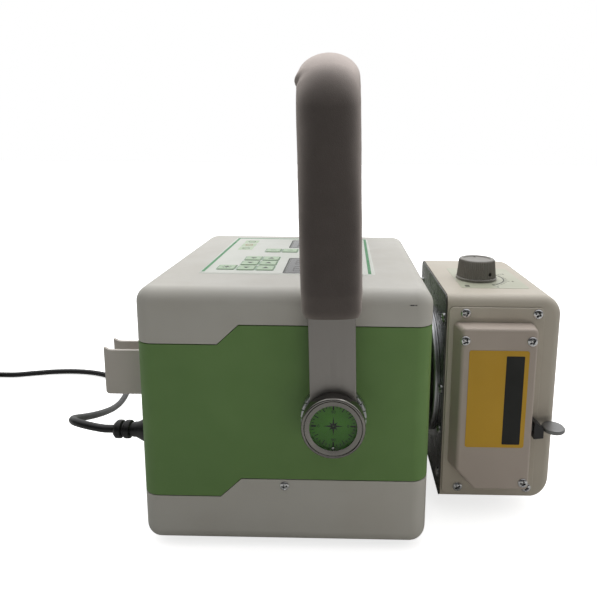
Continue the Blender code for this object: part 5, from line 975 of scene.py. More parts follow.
def knob_build(work):
    """A knob with fine ribs over a plain skirt, a rounded top edge, a dished cap and the hole of its set screw."""
    height, base, top = KNOB_HEIGHT, 0.0196, KNOB_RADIUS
    side = [(-0.0134, 0.003, 0.0), (0.0, 0.003, 0.0),
            (0.0, base - 0.0003, 0.0), (0.0003, base, 0.0), (0.0020, base, 0.0), (0.0023, base - 0.0006, 0.0),
            (0.0028, base - 0.0007, 1.0), (height - 0.0022, top + 0.0001, 1.0), (height - 0.0013, top - 0.0001, 0.8),
            (height - 0.0006, top - 0.0005, 0.4), (height - 0.0001, top - 0.0012, 0.0), (height, top - 0.0019, 0.0),
            (height, 0.0136, 0.0), (height - 0.0002, 0.0132, 0.0), (height - 0.0008, 0.0129, 0.0),
            (height - 0.0009, 0.0124, 0.0), (height - 0.0007, 0.0040, 0.0)]
    angles = [math.pi * step / KNOB_RIBS / 3 for step in range(KNOB_RIBS * 6)]
    rings = []
    for level, radius, ribbed in side:
        reaches = [radius - 0.00075 * ribbed * (0.5 - 0.5 * math.cos(angle * KNOB_RIBS)) ** 0.7 for angle in angles]
        rings.append([(reach * math.cos(angle), reach * math.sin(angle), level)
                      for reach, angle in zip(reaches, angles)])
    loft(work, rings)


def add_knobs():
    outward = Vector((math.sin(SET_SCREW_ANGLE), -math.cos(SET_SCREW_ANGLE), 0.0))

    def set_screw(work):
        turn = outward.to_track_quat("Z", "Y").to_matrix().to_4x4()
        spot = outward * KNOB_RADIUS + Vector((0.0, 0.0, 0.0072))
        bmesh.ops.create_cone(work, cap_ends=True, segments=32, radius1=0.0020, radius2=0.0020, depth=0.009,
                              matrix=Matrix.Translation(spot) @ turn)
    for name in ("top_knob", "far_knob"):
        low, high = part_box(name)
        middle = (low + high) / 2
        if name == "top_knob":
            matrix = Matrix.Translation((middle.x, middle.y, high.z - KNOB_HEIGHT))
        else:
            seat = Matrix.Translation((middle.x, high.y - KNOB_HEIGHT, middle.z))
            matrix = seat @ Matrix.Rotation(-math.pi / 2, 4, "X")
        fine_piece(name + "_ribbed", knob_build, name, "knob_grey", (name,), cuts(set_screw), sharp=40, matrix=matrix)


def hub_faces(name, side):
    """A hub piece's outward and inward y on one side of the housing."""
    low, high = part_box(name)
    return (low.y, high.y) if side < 0 else (high.y, low.y)


def hub_plane(y, side):
    middle = place(PIVOT[0], 0.0, PIVOT[1])
    return facing((middle.x, y, middle.z), (-side, 0, 0), (0, 0, 1))


def notched_ring(thick):
    """A ring with rounded notches round its outer edge, from its back to its face."""
    teeth = 24
    angles = [math.pi * step / teeth / 10 for step in range(teeth * 20)]
    rings = []
    for level, radius, deep in ((-thick, HUB_BORE, 0), (-thick, 0.0260, 0), (-thick + 0.0003, 0.0262, 0),
                                (-0.0036, 0.0262, 0), (-0.0033, 0.0262, 1), (-0.0005, 0.0262, 1),
                                (-0.0001, 0.0258, 1), (0.0, 0.0252, 1), (0.0, 0.0222, 0), (0.0, HUB_BORE, 0)):
        ring = []
        for angle in angles:
            notch = deep * max(0.0, math.cos(angle * teeth)) ** 8
            reach = radius - 0.0020 * notch
            drop = 0.0014 * notch if level > -0.001 else 0.0
            ring.append((reach * math.cos(angle), reach * math.sin(angle), level - drop))
        rings.append(ring)
    return lambda work: loft(work, rings, closed=True)


def add_hubs():
    """Fine caps with their rounded rim and groove, notched rings behind the strap, and thin lenses."""
    for prefix, side in (("near", -1), ("far", 1)):
        outer, stud_end = hub_faces(f"{prefix}_hub_cap", side)
        lens_outer, lens_inner = hub_faces(f"{prefix}_lens", side)
        front, back = hub_faces(f"{prefix}_detent_ring", side)
        seat = -(abs(outer) - abs(lens_inner)) - 0.0034
        stud = -(abs(outer) - abs(stud_end))
        inner = -0.0105
        cap = [(0.0, seat), (0.0192, seat), (0.0192, -0.0012), (0.0185, -0.0012), (0.0186, -0.0010), (0.0202, -0.0006),
               (0.0221, -0.0003), (0.0223, -0.0005), (0.0224, -0.0012), (0.0226, -0.0012), (0.0227, -0.0005),
               (0.0230, -0.0001), (0.0234, 0.0), (0.0239, -0.0001), (0.0243, -0.0003), (0.0247, -0.0007),
               (0.0250, -0.0013), (0.0251, -0.0020), (0.0251, inner + 0.0005), (0.0246, inner), (0.006, inner),
               (0.006, stud), (0.0, stud)]
        lens = [(0.0, -0.0005), (0.0183, -0.0005), (0.0188, -0.0006), (0.0190, -0.0007), (0.0190, -0.0010),
                (0.0, -0.0010)]
        for piece, node, y, profile, slot in (("cap_turned", "hub_cap", outer, cap, "hub_grey"),
                                              ("lens_disc", "lens", lens_outer, lens, "lens_clear")):
            name = f"{prefix}_{piece}"
            add_piece(name, revolve(name, profile, 128), "housing", slot, hub_plane(y, side), 40, (f"{prefix}_{node}",))
        name = f"{prefix}_ring_notched"
        add_piece(name, build_mesh(name, notched_ring(abs(front - back))), "housing", "ring_aluminium",
                  hub_plane(front, side), 30, (f"{prefix}_detent_ring",))


def add_swivel():
    """The collimator's silver ring and the black collar that it turns on."""
    low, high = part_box("swivel_ring")
    thick = high.x - low.x
    ring = [(0.047, 0.0), (0.0605, 0.0), (0.0618, -0.0004), (0.0626, -0.0010), (0.0630, -0.0018), (0.0630, -0.0032),
            (0.0624, -0.0036), (0.0624, -0.0042), (0.0630, -0.0046), (0.0630, -thick), (0.047, -thick)]
    add_piece("swivel_ring_turned", build_mesh("swivel_ring_turned", turned(ring, 128, True)), "collimator",
              "ring_aluminium", facing((low.x, 0.0, BEAM_Z), (0, -1, 0), (0, 0, 1)), replaces=("swivel_ring",))
    low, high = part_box("beam_collar")
    length = high.x - low.x
    rear = REAR_WALL + BODY_SIZE[0] + FIT - high.x
    front = rear + 0.003
    collar = [(0.031, 0.0), (0.0455, 0.0), (0.046, -0.0005), (0.046, front), (0.0562, front), (0.057, front - 0.0008),
              (0.057, rear), (0.046, rear), (0.046, -length), (0.031, -length)]
    add_piece("beam_collar_turned", build_mesh("beam_collar_turned", turned(collar, 128, True)), "housing",
              "collar_black", facing((high.x, 0.0, BEAM_Z), (0, 1, 0), (0, 0, 1)), replaces=("beam_collar",))


def add_switch_holder():
    """The holder for the exposure switch: a trough with a round bottom and rounded lips."""
    low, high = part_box("switch_holder")
    middle_y = (low.y + high.y) / 2
    outer, tip = (high.y - low.y) / 2, low.x - high.x
    inner = outer - 0.0029
    lip = [(tip + 0.0014, outer), (tip + 0.0004, outer - 0.0004), (tip, outer - 0.0014), (tip, inner + 0.0012),
           (tip + 0.0004, inner + 0.0004), (tip + 0.0014, inner)]
    trough = corner_arc((-outer, 0.0), inner, 90, 32, -180)
    plan = [(0.0, -outer), (0.0, outer)] + lip + trough + [(x, -y) for x, y in reversed(lip)]
    top = high.z - low.z
    line = [(0.02, -0.0001), (0.02, top - 0.0024), (tip + 0.0064, top - 0.0024), (tip + 0.0044, top - 0.0021),
            (tip + 0.0028, top - 0.0012), (tip + 0.0014, top - 0.0004), (tip, top)]
    line += corner_arc((tip + 0.004, 0.004), 0.004, 180)

    def side_view(work):
        loft(work, [[(high.x + x, y, low.z + z) for x, z in line] for y in (low.y - 0.01, high.y + 0.01)])
    fine_piece("switch_cradle",
               lambda work: loft(work, [[(high.x + x, middle_y + y, z) for x, y in plan] for z in (low.z, high.z)]),
               "housing", "holder_white", ("switch_holder",), (("INTERSECT", side_view),), late_bevel=0.0006)


def add_connector():
    """The moulded appliance connector with its ribbed strain relief."""
    seat = 0.0029
    body = CONNECTOR_REACH - seat
    radius = 0.0110
    shares = [(0.0, 1.0), (0.40, 1.0), (0.52, 0.99), (0.60, 0.965), (0.62, 0.955)]
    for start in (0.94, 0.71):
        shares += [(0.67, start), (0.72, start - 0.02), (0.735, start - 0.08), (0.72, start - 0.14),
                   (0.67, start - 0.16), (0.56, start - 0.168), (0.56, start - 0.222)]
    shares += [(0.60, 0.46), (0.60, 0.40), (0.72, 0.31), (0.90, 0.19), (0.98, 0.12), (1.0, 0.08), (1.0, 0.01),
               (0.97, 0.0), (0.0, 0.0)]
    profile = [(radius * across, seat + body * along) for across, along in shares]
    inlet = place(0.0, *INLET)
    block = box_tool((-0.0115, -0.0078, -0.0160), (0.0115, 0.0078, 0.0035))
    fine_piece("connector_moulding", turned(profile, 64), "housing", "connector_black", ("lead_connector",),
               (("UNION", block),), matrix=facing((REAR_WALL, inlet.y, inlet.z), (0, -1, 0), (0, 0, 1)))


def add_tape_tab():
    """A thin rounded disc on the end of the spring band, whose near end stays in the box."""
    low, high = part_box("tape_tab")
    middle = (low + high) / 2
    disc_x = high.x - 0.0099
    disc = [(0.0, 0.0019), (0.0084, 0.0020), (0.0093, 0.0017), (0.0099, 0.0009), (0.0099, -0.0009), (0.0093, -0.0017),
            (0.0084, -0.0020), (0.0, -0.0019)]
    rings = [[(x, y, middle.z + height) for x, y in circle(max(radius, AXIS_RADIUS), 96, (disc_x, middle.y))]
             for radius, height in disc]
    band = box_tool((low.x, -0.0863, low.z), (disc_x - 0.0090, -0.0857, high.z))
    fine_piece("tape_tab_disc", lambda work: loft(work, rings), "tape", "tape_steel", ("tape_tab",), (("UNION", band),))


# Mains lead

def smooth_line(route, steps=6):
    """Points along a Catmull-Rom curve through the route."""
    points = [Vector(point) for point in route]
    padded = [points[0] * 2 - points[1]] + points + [points[-1] * 2 - points[-2]]
    line = []
    for index in range(1, len(padded) - 2):
        before, first, second, after = padded[index - 1:index + 3]
        for step in range(steps):
            share = step / steps
            line.append(0.5 * (2 * first + (second - before) * share
                               + (2 * before - 5 * first + 4 * second - after) * share ** 2
                               + (3 * first - before - 3 * second + after) * share ** 3))
    line.append(points[-1])
    return line


def lead_route():
    """The lead's free stretch: out of the connector, round in a loose loop and away along the table."""
    side, high = INLET
    table = CORD_RADIUS + FIT - UNDERSIDE
    outside = COIL_MEAN_RADIUS + 0.0105
    join = COIL_MIDDLE[0] + math.sqrt(outside ** 2 - (COIL_MEAN_RADIUS - CORD_RADIUS) ** 2) + FIT
    return [place(x, y, z) for x, y, z in (
        (-CONNECTOR_REACH - FIT, side, high), (-0.047, side, high + 0.0002), (-0.057, side + 0.0003, high + 0.0017),
        (-0.0671, side + 0.0022, high + 0.0028), (-0.0762, side + 0.0072, high + 0.0022),
        (-0.0829, side + 0.0155, high - 0.0005), (-0.0861, side + 0.0255, high - 0.0047),
        (-0.0872, side + 0.0395, high - 0.0113), (-0.0878, side + 0.0575, high - 0.0195),
        (-0.0893, side + 0.0785, high - 0.0286), (-0.0923, side + 0.1045, high - 0.0392),
        (-0.0971, side + 0.1325, high - 0.0499), (-0.1030, side + 0.1625, high - 0.0594),
        (-0.1105, side + 0.1935, high - 0.0672), (-0.1210, side + 0.2250, table + 0.0058),
        (-0.1380, side + 0.2560, table + 0.0008), (-0.1610, side + 0.2800, table), (-0.190, side + 0.2940, table),
        (-0.222, side + 0.3000, table), (-0.255, side + 0.2985, table), (-0.284, side + 0.2920, table),
        (-0.308, COIL_MIDDLE[1] + COIL_MEAN_RADIUS + 0.0005, table), (join, COIL_MIDDLE[1] + COIL_MEAN_RADIUS, table),
    )]


def coil_points():
    """The put-away lead: three turns on the table from the outside in, two on top from the inside out, and its end."""
    low = CORD_RADIUS + 0.0002
    high = low + CORD_RADIUS * math.sqrt(3) + 0.0001
    turns = [(COIL_MEAN_RADIUS + offset * CORD_RADIUS, level)
             for offset, level in ((2, low), (0, low), (-2, low), (-1, high), (1, high))]
    middle = place(*COIL_MIDDLE, 0.0)
    points = []
    steps, shift = 40, 8
    for index in range(4 * steps + 33):
        turn, step = divmod(index, steps)
        radius, level = turns[turn]
        if turn + 1 < len(turns) and step > steps - shift:
            share = ease((step - (steps - shift)) / shift)
            radius += (turns[turn + 1][0] - radius) * share
            level += (turns[turn + 1][1] - level) * share
        angle = math.radians(90 + 360 * index / steps)
        over_tie = 0.0012 * math.exp(-(math.remainder(angle, 2 * math.pi) / 0.3) ** 2)
        points.append(Vector((middle.x + radius * math.cos(angle), middle.y + radius * math.sin(angle),
                              TABLE + level + over_tie)))
    return points + coil_end(middle.xy, points[-1].z, *turns[-2:])


def coil_end(centre, start_high, inner_turn, outer_turn):
    """The lead's end: off the outer turn, over the inner one and the hole, and back over both turns into the plug."""
    low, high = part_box("mains_plug")
    neck = Vector((high.x + 0.0001, (low.y + high.y) / 2, (low.z + high.z) / 2))
    bend, leave, thick = COIL_END_BEND, 18, 2 * CORD_RADIUS
    out = Vector((math.cos(math.radians(leave)), math.sin(math.radians(leave))))
    first = centre + out * (outer_turn[0] - bend)
    inward = corner_arc(first, bend, leave, 15, 180)[1:]
    onward = corner_arc(first - out * 2 * bend, bend, leave, 9, -108)[1:]
    points = []
    for number, spot in enumerate(inward):
        apart = min(max((Vector(spot) - centre).length - inner_turn[0], 0.0), thick)
        high = TABLE + inner_turn[1] + math.sqrt(thick ** 2 - apart ** 2) + FIT
        points.append(Vector((*spot, max(start_high, high) if number < 2 else high)))
    points += [Vector((*spot, neck.z)) for spot in onward]
    points[-1] = neck + Vector((0.006, 0.0, 0.0))
    return points + [neck]


def add_lead():
    """The whole lead as one curve."""
    line = smooth_line(lead_route()) + coil_points()
    curve = bpy.data.curves.new("mains_cord", "CURVE")
    curve.dimensions = "3D"
    curve.bevel_depth = CORD_RADIUS
    curve.bevel_resolution = 6
    curve.use_fill_caps = True
    spline = curve.splines.new("POLY")
    spline.points.add(len(line) - 1)
    for point, spot in zip(spline.points, line):
        point.co = (*spot, 1.0)
    cord = link_object("mains_cord", curve)
    curve.materials.append(MATERIALS["lead_black"])
    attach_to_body(cord, "housing")
    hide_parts("mains_lead", "lead_coil")


def add_coil_tie():
    """A strip round the bundle of turns, on the side away from the plug, and its loose end."""
    reach, low, high, thick = 3 * CORD_RADIUS + 0.0003, 0.0011, 0.0151, 0.0009
    inner = rounded(-reach, low, reach, high, 0.0032, 8)
    outer = rounded(-reach - thick, low - thick, reach + thick, high + thick, 0.0041, 8)
    middle = place(*COIL_MIDDLE, 0.0)
    plane = facing((middle.x + COIL_MEAN_RADIUS, middle.y, TABLE), (1, 0, 0), (0, 0, 1))
    strip = [[(u, v, w) for u, v in line] for line, w in (
        (inner, -0.0060), (outer, -0.0060), (outer, 0.0060), (inner, 0.0060))]
    tail = [(0.0, high + 0.0010), (reach * 0.8, high + 0.0010), (reach * 1.15, high + 0.0002),
            (reach * 1.5, high - 0.0020)]
    tail += [(u + 0.0002, v + 0.0009) for u, v in reversed(tail)]
    end = [[(u, v, w) for u, v in tail] for w in (-0.0056, 0.0056)]
    for name, rings, closed in (("coil_tie", strip, True), ("coil_tie_end", end, False)):
        mesh = build_mesh(name, lambda work, rings=rings, closed=closed: loft(work, rings, closed))
        add_piece(name, mesh, "housing", "lead_black", plane, 40, finish="tie_black")


def add_plug():
    """The moulded plug with its ribbed neck, a finger grip and two round pins."""
    low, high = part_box("mains_plug")
    middle = (low + high) / 2
    profile = [(0.0, 0.0), (0.0057, 0.0), (0.0061, 0.0005)]
    for rib in range(4):
        start = 0.0012 + 0.0034 * rib
        wide = 0.0064 + 0.0013 * rib
        profile += [(wide - 0.0010, start), (wide - 0.0010, start + 0.0009), (wide, start + 0.0012),
                    (wide + 0.0003, start + 0.0028)]
    profile += [(0.0122, 0.0155), (0.0136, 0.0205), (0.0147, 0.0245), (0.0158, 0.0290), (0.0163, 0.0312),
                (0.0156, 0.0318), (0.0156, 0.0328), (0.0163, 0.0334), (0.0165, 0.0342), (0.0165, 0.0436),
                (0.0161, 0.0446), (0.0151, 0.0450), (0.0, 0.0450)]
    fine_piece("plug_moulding", turned(profile, 72), "housing", "connector_black", ("mains_plug",),
               matrix=facing((high.x, middle.y, middle.z), (0, -1, 0), (0, 0, 1)))
    pin = [(0.0, 0.0200), (0.0010, 0.0200), (0.0018, 0.0196), (0.0023, 0.0188), (0.0024, 0.0178), (0.0024, 0.0001),
           (0.0, 0.0001)]
    for name, offset in (("plug_pin_near", -0.0095), ("plug_pin_far", 0.0095)):
        plane = facing((high.x - 0.0450, middle.y + offset, middle.z), (0, -1, 0), (0, 0, 1))
        add_piece(name, revolve(name, pin, 48), "housing", "connector_black", plane, 40, ("mains_plug",), "screw_steel")


# Handle

def handle_plane():
    """The handle's own frame: its middle on the pivot, leaning a little to the front."""
    return Matrix.Translation(place(PIVOT[0], 0.0, PIVOT[1])) @ Matrix.Rotation(-HANDLE_LEAN, 4, "Y")


def grip_path(count=320):
    """Middle line of the grip in the handle's plane, as y, height and outward direction."""
    arm = HANDLE_TOP - HANDLE_BEND - FOAM_START
    bend = math.pi / 2 * HANDLE_BEND
    across = HANDLE_HALF_SPAN - HANDLE_BEND
    half_length = arm + bend + across
    path = []
    for index in range(count + 1):
        run = half_length * 2 * index / count
        mirrored = run > half_length
        run = 2 * half_length - run if mirrored else run
        if run < arm:
            y, z, ny, nz = -HANDLE_HALF_SPAN, FOAM_START + run, -1.0, 0.0
        elif run < arm + bend:
            angle = (run - arm) / HANDLE_BEND
            y = -HANDLE_HALF_SPAN + HANDLE_BEND * (1 - math.cos(angle))
            z = HANDLE_TOP - HANDLE_BEND * (1 - math.sin(angle))
            ny, nz = -math.cos(angle), math.sin(angle)
        else:
            y, z, ny, nz = -HANDLE_HALF_SPAN + HANDLE_BEND + run - arm - bend, HANDLE_TOP, 0.0, 1.0
        if mirrored:
            y, ny = -y, -ny
        path.append((y, z, ny, nz))
    return path


def grip_section(high, on_top):
    """Half width, outer and inner half thickness and squareness of the foam at a height above the pivot."""
    start = min(max((high - FOAM_START) / 0.020, 0.0), 1.0)
    rise = ease(min(max((high - 0.150) / 0.070, 0.0), 1.0))
    half_width = 0.0225 + 0.0010 * start
    outer = 0.0080 + 0.0045 * start
    outer += (0.0170 - outer) * rise
    inner = 0.0080 + 0.0065 * rise
    return half_width, outer, 0.0145 if on_top else inner, 0.8 + 0.22 * rise


def add_grip():
    """The foam sleeve: a soft oval round the strap, with rolled ends, creases inside the bends and a pinch on top."""
    sides = 56
    path = grip_path()
    last = len(path) - 1

    def build(work):
        rings = []
        holes = []
        for number, (y, z, ny, nz) in enumerate(path):
            half_width, outer, inner, round_off = grip_section(z, abs(y) < HANDLE_HALF_SPAN - HANDLE_BEND)
            from_end = min(number, last - number)
            rolled = 1 - 0.08 * max(0.0, 1 - from_end / 3) ** 2
            in_bend = 0.0
            if nz > 0.01 < abs(ny):
                in_bend = max(0.0, 1 - abs(math.degrees(math.atan2(nz, -abs(ny))) - 135) / 45)
            ring, hole = [], []
            for index in range(sides):
                angle = 2 * math.pi * index / sides
                across = half_width * math.copysign(abs(math.cos(angle)) ** round_off, math.cos(angle))
                out = math.copysign(abs(math.sin(angle)) ** round_off, math.sin(angle))
                out *= outer if out > 0 else inner
                spot = Vector((across, y + ny * out, z + nz * out))
                crease = 0.0
                if in_bend and math.sin(angle) < 0.2:
                    crease = 0.0007 * in_bend * (0.5 - 0.5 * math.cos(number * 0.98)) * (0.2 - math.sin(angle))
                wave = noise.noise(spot * 38.0) * 0.00016 + noise.noise(spot * 120.0) * 0.00008
                run = math.atan2(z - HANDLE_TOP + HANDLE_BEND, -y - HANDLE_HALF_SPAN + HANDLE_BEND) if in_bend else 0.0
                aside = max(0.0, -math.cos(angle)) ** 6 if y < 0 else 0.0
                crease += 0.0019 * aside * math.exp(-((run - 0.76) / 0.045) ** 2)
                crease -= 0.0012 * aside * math.exp(-((run - 0.94) / 0.13) ** 2)
                share = rolled * (1 + (wave - crease) / 0.016)
                ring.append(work.verts.new((across * share, y + ny * out * share, z + nz * out * share)))
                slot_across = (STRAP_WIDTH / 2 + FIT) * max(-1.0, min(1.0, 1.5 * math.cos(angle)))
                slot_out = (STRAP_THICKNESS / 2 + FIT) * max(-1.0, min(1.0, 1.5 * math.sin(angle)))
                hole.append(work.verts.new((slot_across, y + ny * slot_out, z + nz * slot_out)))
            rings.append(ring)
            holes.append(hole)
        for loops in (rings, holes):
            for first, second in zip(loops, loops[1:]):
                rim_faces(work, first, second)
        for ring, hole in ((rings[0], holes[0]), (rings[-1], holes[-1])):
            rim_faces(work, ring, hole)

    grip = add_piece("foam_sleeve", build_mesh("foam_sleeve", build), "handle", "grip_foam", handle_plane(), 60,
                     ("foam_grip",))


def add_strap():
    """The flat strap bent over the top, with fine rounded edges, and its round eyes behind the caps."""
    thick, half = STRAP_THICKNESS / 2, STRAP_WIDTH / 2

    def line(offset):
        middle = (-HANDLE_HALF_SPAN + HANDLE_BEND, HANDLE_TOP - HANDLE_BEND)
        arm = [(-HANDLE_HALF_SPAN - offset, 0.0)] + corner_arc(middle, HANDLE_BEND + offset, 180, 10, -90)
        return arm + [(-y, z) for y, z in reversed(arm)]
    outline = line(thick) + line(-thick)[::-1]
    tools = [(operation, bore_tool(radius, (0.0, y, 0.0), "Y", length)) for y in (-HANDLE_HALF_SPAN, HANDLE_HALF_SPAN)
             for operation, radius, length in (("UNION", half - 0.0005, STRAP_THICKNESS - 0.0004),
                                               ("DIFFERENCE", HUB_BORE, 0.02))]
    fine_piece("strap_bent", lambda work: loft(work, [[(x, y, z) for y, z in outline] for x in (-half, half)]),
               "handle", "strap_aluminium", ("handle_strap",), tools, sharp=40, bevel=0.0005, segments=2,
               matrix=handle_plane())


# Screws

def screw_mesh(name, radius, height):
    """A domed cross-head screw, its base on z = 0."""
    rings, sides = 18, 72
    half_slot, slot_reach, depth = radius * 0.22, radius * 0.66, height * 0.95

    def recess(x, y):
        best = 0.0
        for along, across in ((x, y), (y, x)):
            fall = 1 - abs(along) / slot_reach
            wide = 1 - abs(across) / half_slot
            best = max(best, min(1.0, max(0.0, fall * 3)) * min(1.0, max(0.0, wide * 2.5)))
        return best * depth

    def build(work):
        top = work.verts.new((0, 0, height - recess(0, 0)))
        previous = [top] * sides
        for ring in range(1, rings + 1):
            share = ring / rings
            current = []
            for side in range(sides):
                angle = 2 * math.pi * side / sides
                x, y = radius * share * math.cos(angle), radius * share * math.sin(angle)
                dome = height * math.sqrt(max(1 - (share * 0.94) ** 2, 0.0))
                current.append(work.verts.new((x, y, dome - recess(x, y))))
            rim_faces(work, previous, current)
            previous = current
        foot = [work.verts.new((v.co.x, v.co.y, 0.0)) for v in previous]
        rim_faces(work, previous, foot)
        work.faces.new(list(reversed(foot)))
    return build_mesh(name, build)


def add_screw(name, spot, outward, up, radius, height, body, slot, turn):
    matrix = facing(spot, Vector(up).cross(Vector(outward)), up) @ Matrix.Rotation(math.radians(turn), 4, "Z")
    add_piece(name, screw_mesh(name, radius, height), body, slot, matrix, 28, finish="screw_steel")


def add_screws():
    near, far, upward = (0, -1, 0), (0, 1, 0), (0, 0, 1)
    turns = (12, 55, 33, 80, 20, 64, 41, 8)
    base_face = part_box("base_cover")[0].y + 0.0002 * near[1]
    for index, (name, outward, y) in enumerate((("near", near, base_face), ("far", far, -base_face))):
        add_screw(f"cover_screw_{name}", place(COVER_SCREW_X, y, 0.0548), outward, upward, 0.0038, 0.0016, "housing",
                  "cover_white", turns[index])
    plate_spots = ((0.2757, 0.0215), (0.3391, 0.0215), (0.2757, 0.1890), (0.3391, 0.1890))
    box_spots = ((0.2731, 0.1690), (0.3306, 0.1690), (0.3306, 0.0357))
    for name, spots, first in (("side_plate", plate_spots, 2), ("side_box", box_spots, 1)):
        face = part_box(name)[0].y
        for index, (x, z) in enumerate(spots):
            add_screw(f"{name}_screw_{index + 1}", place(x, face, z), near, upward, 0.0043, 0.0021, "collimator",
                      "collimator_cream", turns[index + first])
    rear_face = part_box("collimator_rear_plate")[0].x
    rear_levels = (0.0295, 0.0725, 0.1125, 0.1815)
    for index in range(8):
        side, row = divmod(index, 4)
        spot = Vector((rear_face, 0.066 if side else -0.066, UNDERSIDE + rear_levels[row]))
        add_screw(f"rear_plate_screw_{index + 1}", spot, (-1, 0, 0), upward, 0.0042, 0.0022, "collimator",
                  "rear_plate_dark", turns[row + 3])
    for index in range(1, 5):
        low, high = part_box(f"rubber_foot_{index}")
        spot = Vector((*((low + high) / 2).xy, low.z + 0.0030))
        add_screw(f"foot_screw_{index}", spot, (0, 0, -1), (0, 1, 0), 0.0034, 0.0014, "housing", "foot_rubber",
                  turns[index])


# Control panel

def frame_outline(name, margin, corner):
    """An outline round a panel's piece, in the panel's plane."""
    low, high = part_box(name)
    return rounded(low.x - REAR_WALL - margin, low.y - margin, high.x - REAR_WALL + margin, high.y + margin, corner)


def add_panel_rim():
    """The sheet's soft rim, a ramp from its face down to the cover."""
    low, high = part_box("panel_sheet")
    cover = UNDERSIDE + BODY_SIZE[2] + LIFT
    ramp = [(0.00003, high.z), (0.0006, high.z - 0.00024), (0.0016, cover), (0.00003, cover)]
    rings = []
    for reach, z in ramp:
        outline = rounded(low.x - reach, low.y - reach, high.x + reach, high.y + reach, 0.004 + reach, 8)
        rings.append([(x, y, z) for x, y in outline])
    mesh = build_mesh("panel_rim", lambda work: loft(work, rings, closed=True))
    add_piece("panel_rim", mesh, "housing", "panel_film", smooth=50)


def key_mark(name):
    """A key's plain mark: an arrow up or down, a small sun for the lamp or a bar for a memory."""
    if name.startswith("lamp"):
        return [circle(0.0019, 24)] + [tick(angle, 0.0028, 0.0044, 0.0005) for angle in range(0, 360, 45)]
    if name.startswith("memory"):
        return [rectangle(-0.0030, -0.0004, 0.0030, 0.0004)]
    turn = 1 if name.startswith("raise") else -1
    return [[(-0.0030 * turn, -0.0022 * turn), (0.0030 * turn, -0.0022 * turn), (0.0, 0.0030 * turn)]]


def unlit_digit(u, v, w, h, t):
    """The seven bars of a digit with its lower left corner at u, v."""
    bars = [rectangle(u, v + rise, u + w, v + rise + t) for rise in (0.0, h / 2 - t / 2, h - t)]
    for side in (u, u + w - t):
        bars += [rectangle(side, v + t * 1.3, side + t, v + h / 2 - t),
                 rectangle(side, v + h / 2 + t, side + t, v + h - t * 1.3)]
    return bars


def add_panel_print():
    """Border line, key frames and plain marks on the panel, keys with their marks, and unlit digits in the windows."""
    across, up = (1, 0, 0), (0, 1, 0)
    plane = facing((REAR_WALL, 0.0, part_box("panel_sheet")[1].z), across, up)

    def panel_print(name, finish, **shapes):
        printed(name, plane, finish, "housing", "panel_film", **shapes)
    line = [(0.0424, -0.0708), (0.0436, 0.0965), (0.1922, 0.0960), (0.1906, -0.0738)]
    panel_print("panel_border", "ink_green", bands=[line_band(line, 0.0028)])
    keys = [name for name in frame["nodes"] if "_key" in name]
    displays = {"main_display": 4, "status_display": 3}
    panel_print("panel_frames", "ink_green", closed_bands=[
        (frame_outline(name, 0.0011, 0.0016), frame_outline(name, 0.0006, 0.0012)) for name in keys])
    panel_print("panel_windows", "ink_dark", closed_bands=[
        (frame_outline(name, 0.0020, 0.0024), frame_outline(name, 0.0005, 0.0010)) for name in displays])
    legends = [(0.0540, 0.0283, 0.0695, 0.0447), (0.0540, 0.0471, 0.0695, 0.0638), (0.0540, 0.0681, 0.0695, 0.0832)]
    panel_print("panel_legends", "ink_pale", loops=[rounded(*box, 0.0015) for box in legends])
    middles = [((u0 + u1) / 2, (v0 + v1) / 2) for u0, v0, u1, v1 in legends]
    first, red, last = [(circle(0.0042, 32, middle), circle(0.0034, 32, middle)) for middle in middles]
    panel_print("panel_legend_rings", "ink_red", closed_bands=[red], lift=LIFT + INK)
    panel_print("panel_legend_marks", "ink_dark", closed_bands=[first, last], lift=LIFT + INK)
    for name in keys:
        low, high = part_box(name)
        spot = (*((low + high) / 2).xy, high.z)
        printed(name + "_mark", facing(spot, across, up), "ink_dark", name, "key_film", loops=key_mark(name))
    for name, digits in displays.items():
        low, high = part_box(name)
        width, depth = high.x - low.x, high.y - low.y
        loops = []
        for row in range(2):
            for digit in range(digits):
                loops += unlit_digit(width * (0.10 + 0.84 * digit / digits), depth * (0.12 + 0.46 * row), width * 0.13,
                                     depth * 0.30, 0.0010)
        window = facing((low.x, low.y, high.z), across, up)
        printed(name + "_digits", window, "segment_dark", "housing", "display_window", loops=loops)


# Dials of the handle

def polar(reach, degrees):
    return (reach * math.cos(math.radians(degrees)), reach * math.sin(math.radians(degrees)))


def add_dial(side_name, side):
    """A printed angle dial under the lens: a green dish, ticks every ten degrees, numbers and an eight-point star."""
    plane = hub_plane(hub_faces(f"{side_name}_level_ball", side)[1] - side * 0.0003, side)
    slot = "lens_clear"
    dish = [(0.0, 0.0), (0.0184, 0.0), (0.0188, 0.0003), (0.0189, 0.0026), (0.0191, 0.0026), (0.0191, -0.0007),
            (0.0, -0.0007)]
    name = f"{side_name}_dial"
    add_piece(name, revolve(name, dish), "housing", slot, plane, finish="dial_green")
    marks, star = [], []
    for angle in range(0, 360, 10):
        near, width = (0.0132, 0.0012) if angle % 90 == 0 else (0.0134, 0.0006) if angle % 30 == 0 else (0.0152, 0.0005)
        marks.append(tick(angle, near, 0.0172, width))
    for angle in range(0, 360, 45):
        tip = polar(0.0046 if angle % 90 else 0.0078, angle)
        marks.append([polar(0.0002, angle), tip, polar(0.0021, angle + 22.5)])
        star.append([polar(0.0002, angle), polar(0.0021, angle - 22.5), tip])
    printed(name + "_marks", plane, "ink_black", "housing", slot, loops=marks)
    printed(name + "_star", plane, "ink_black", "housing", slot, loops=star)
    for index, text in enumerate(("0", "90", "0", "90")):
        add_number(f"{name}_number_{index + 1}", text, 0.0025, plane, polar(0.0115, 90 * index), "ink_black",
                   "housing", slot)


# Scales, plate and cross lines on the collimator

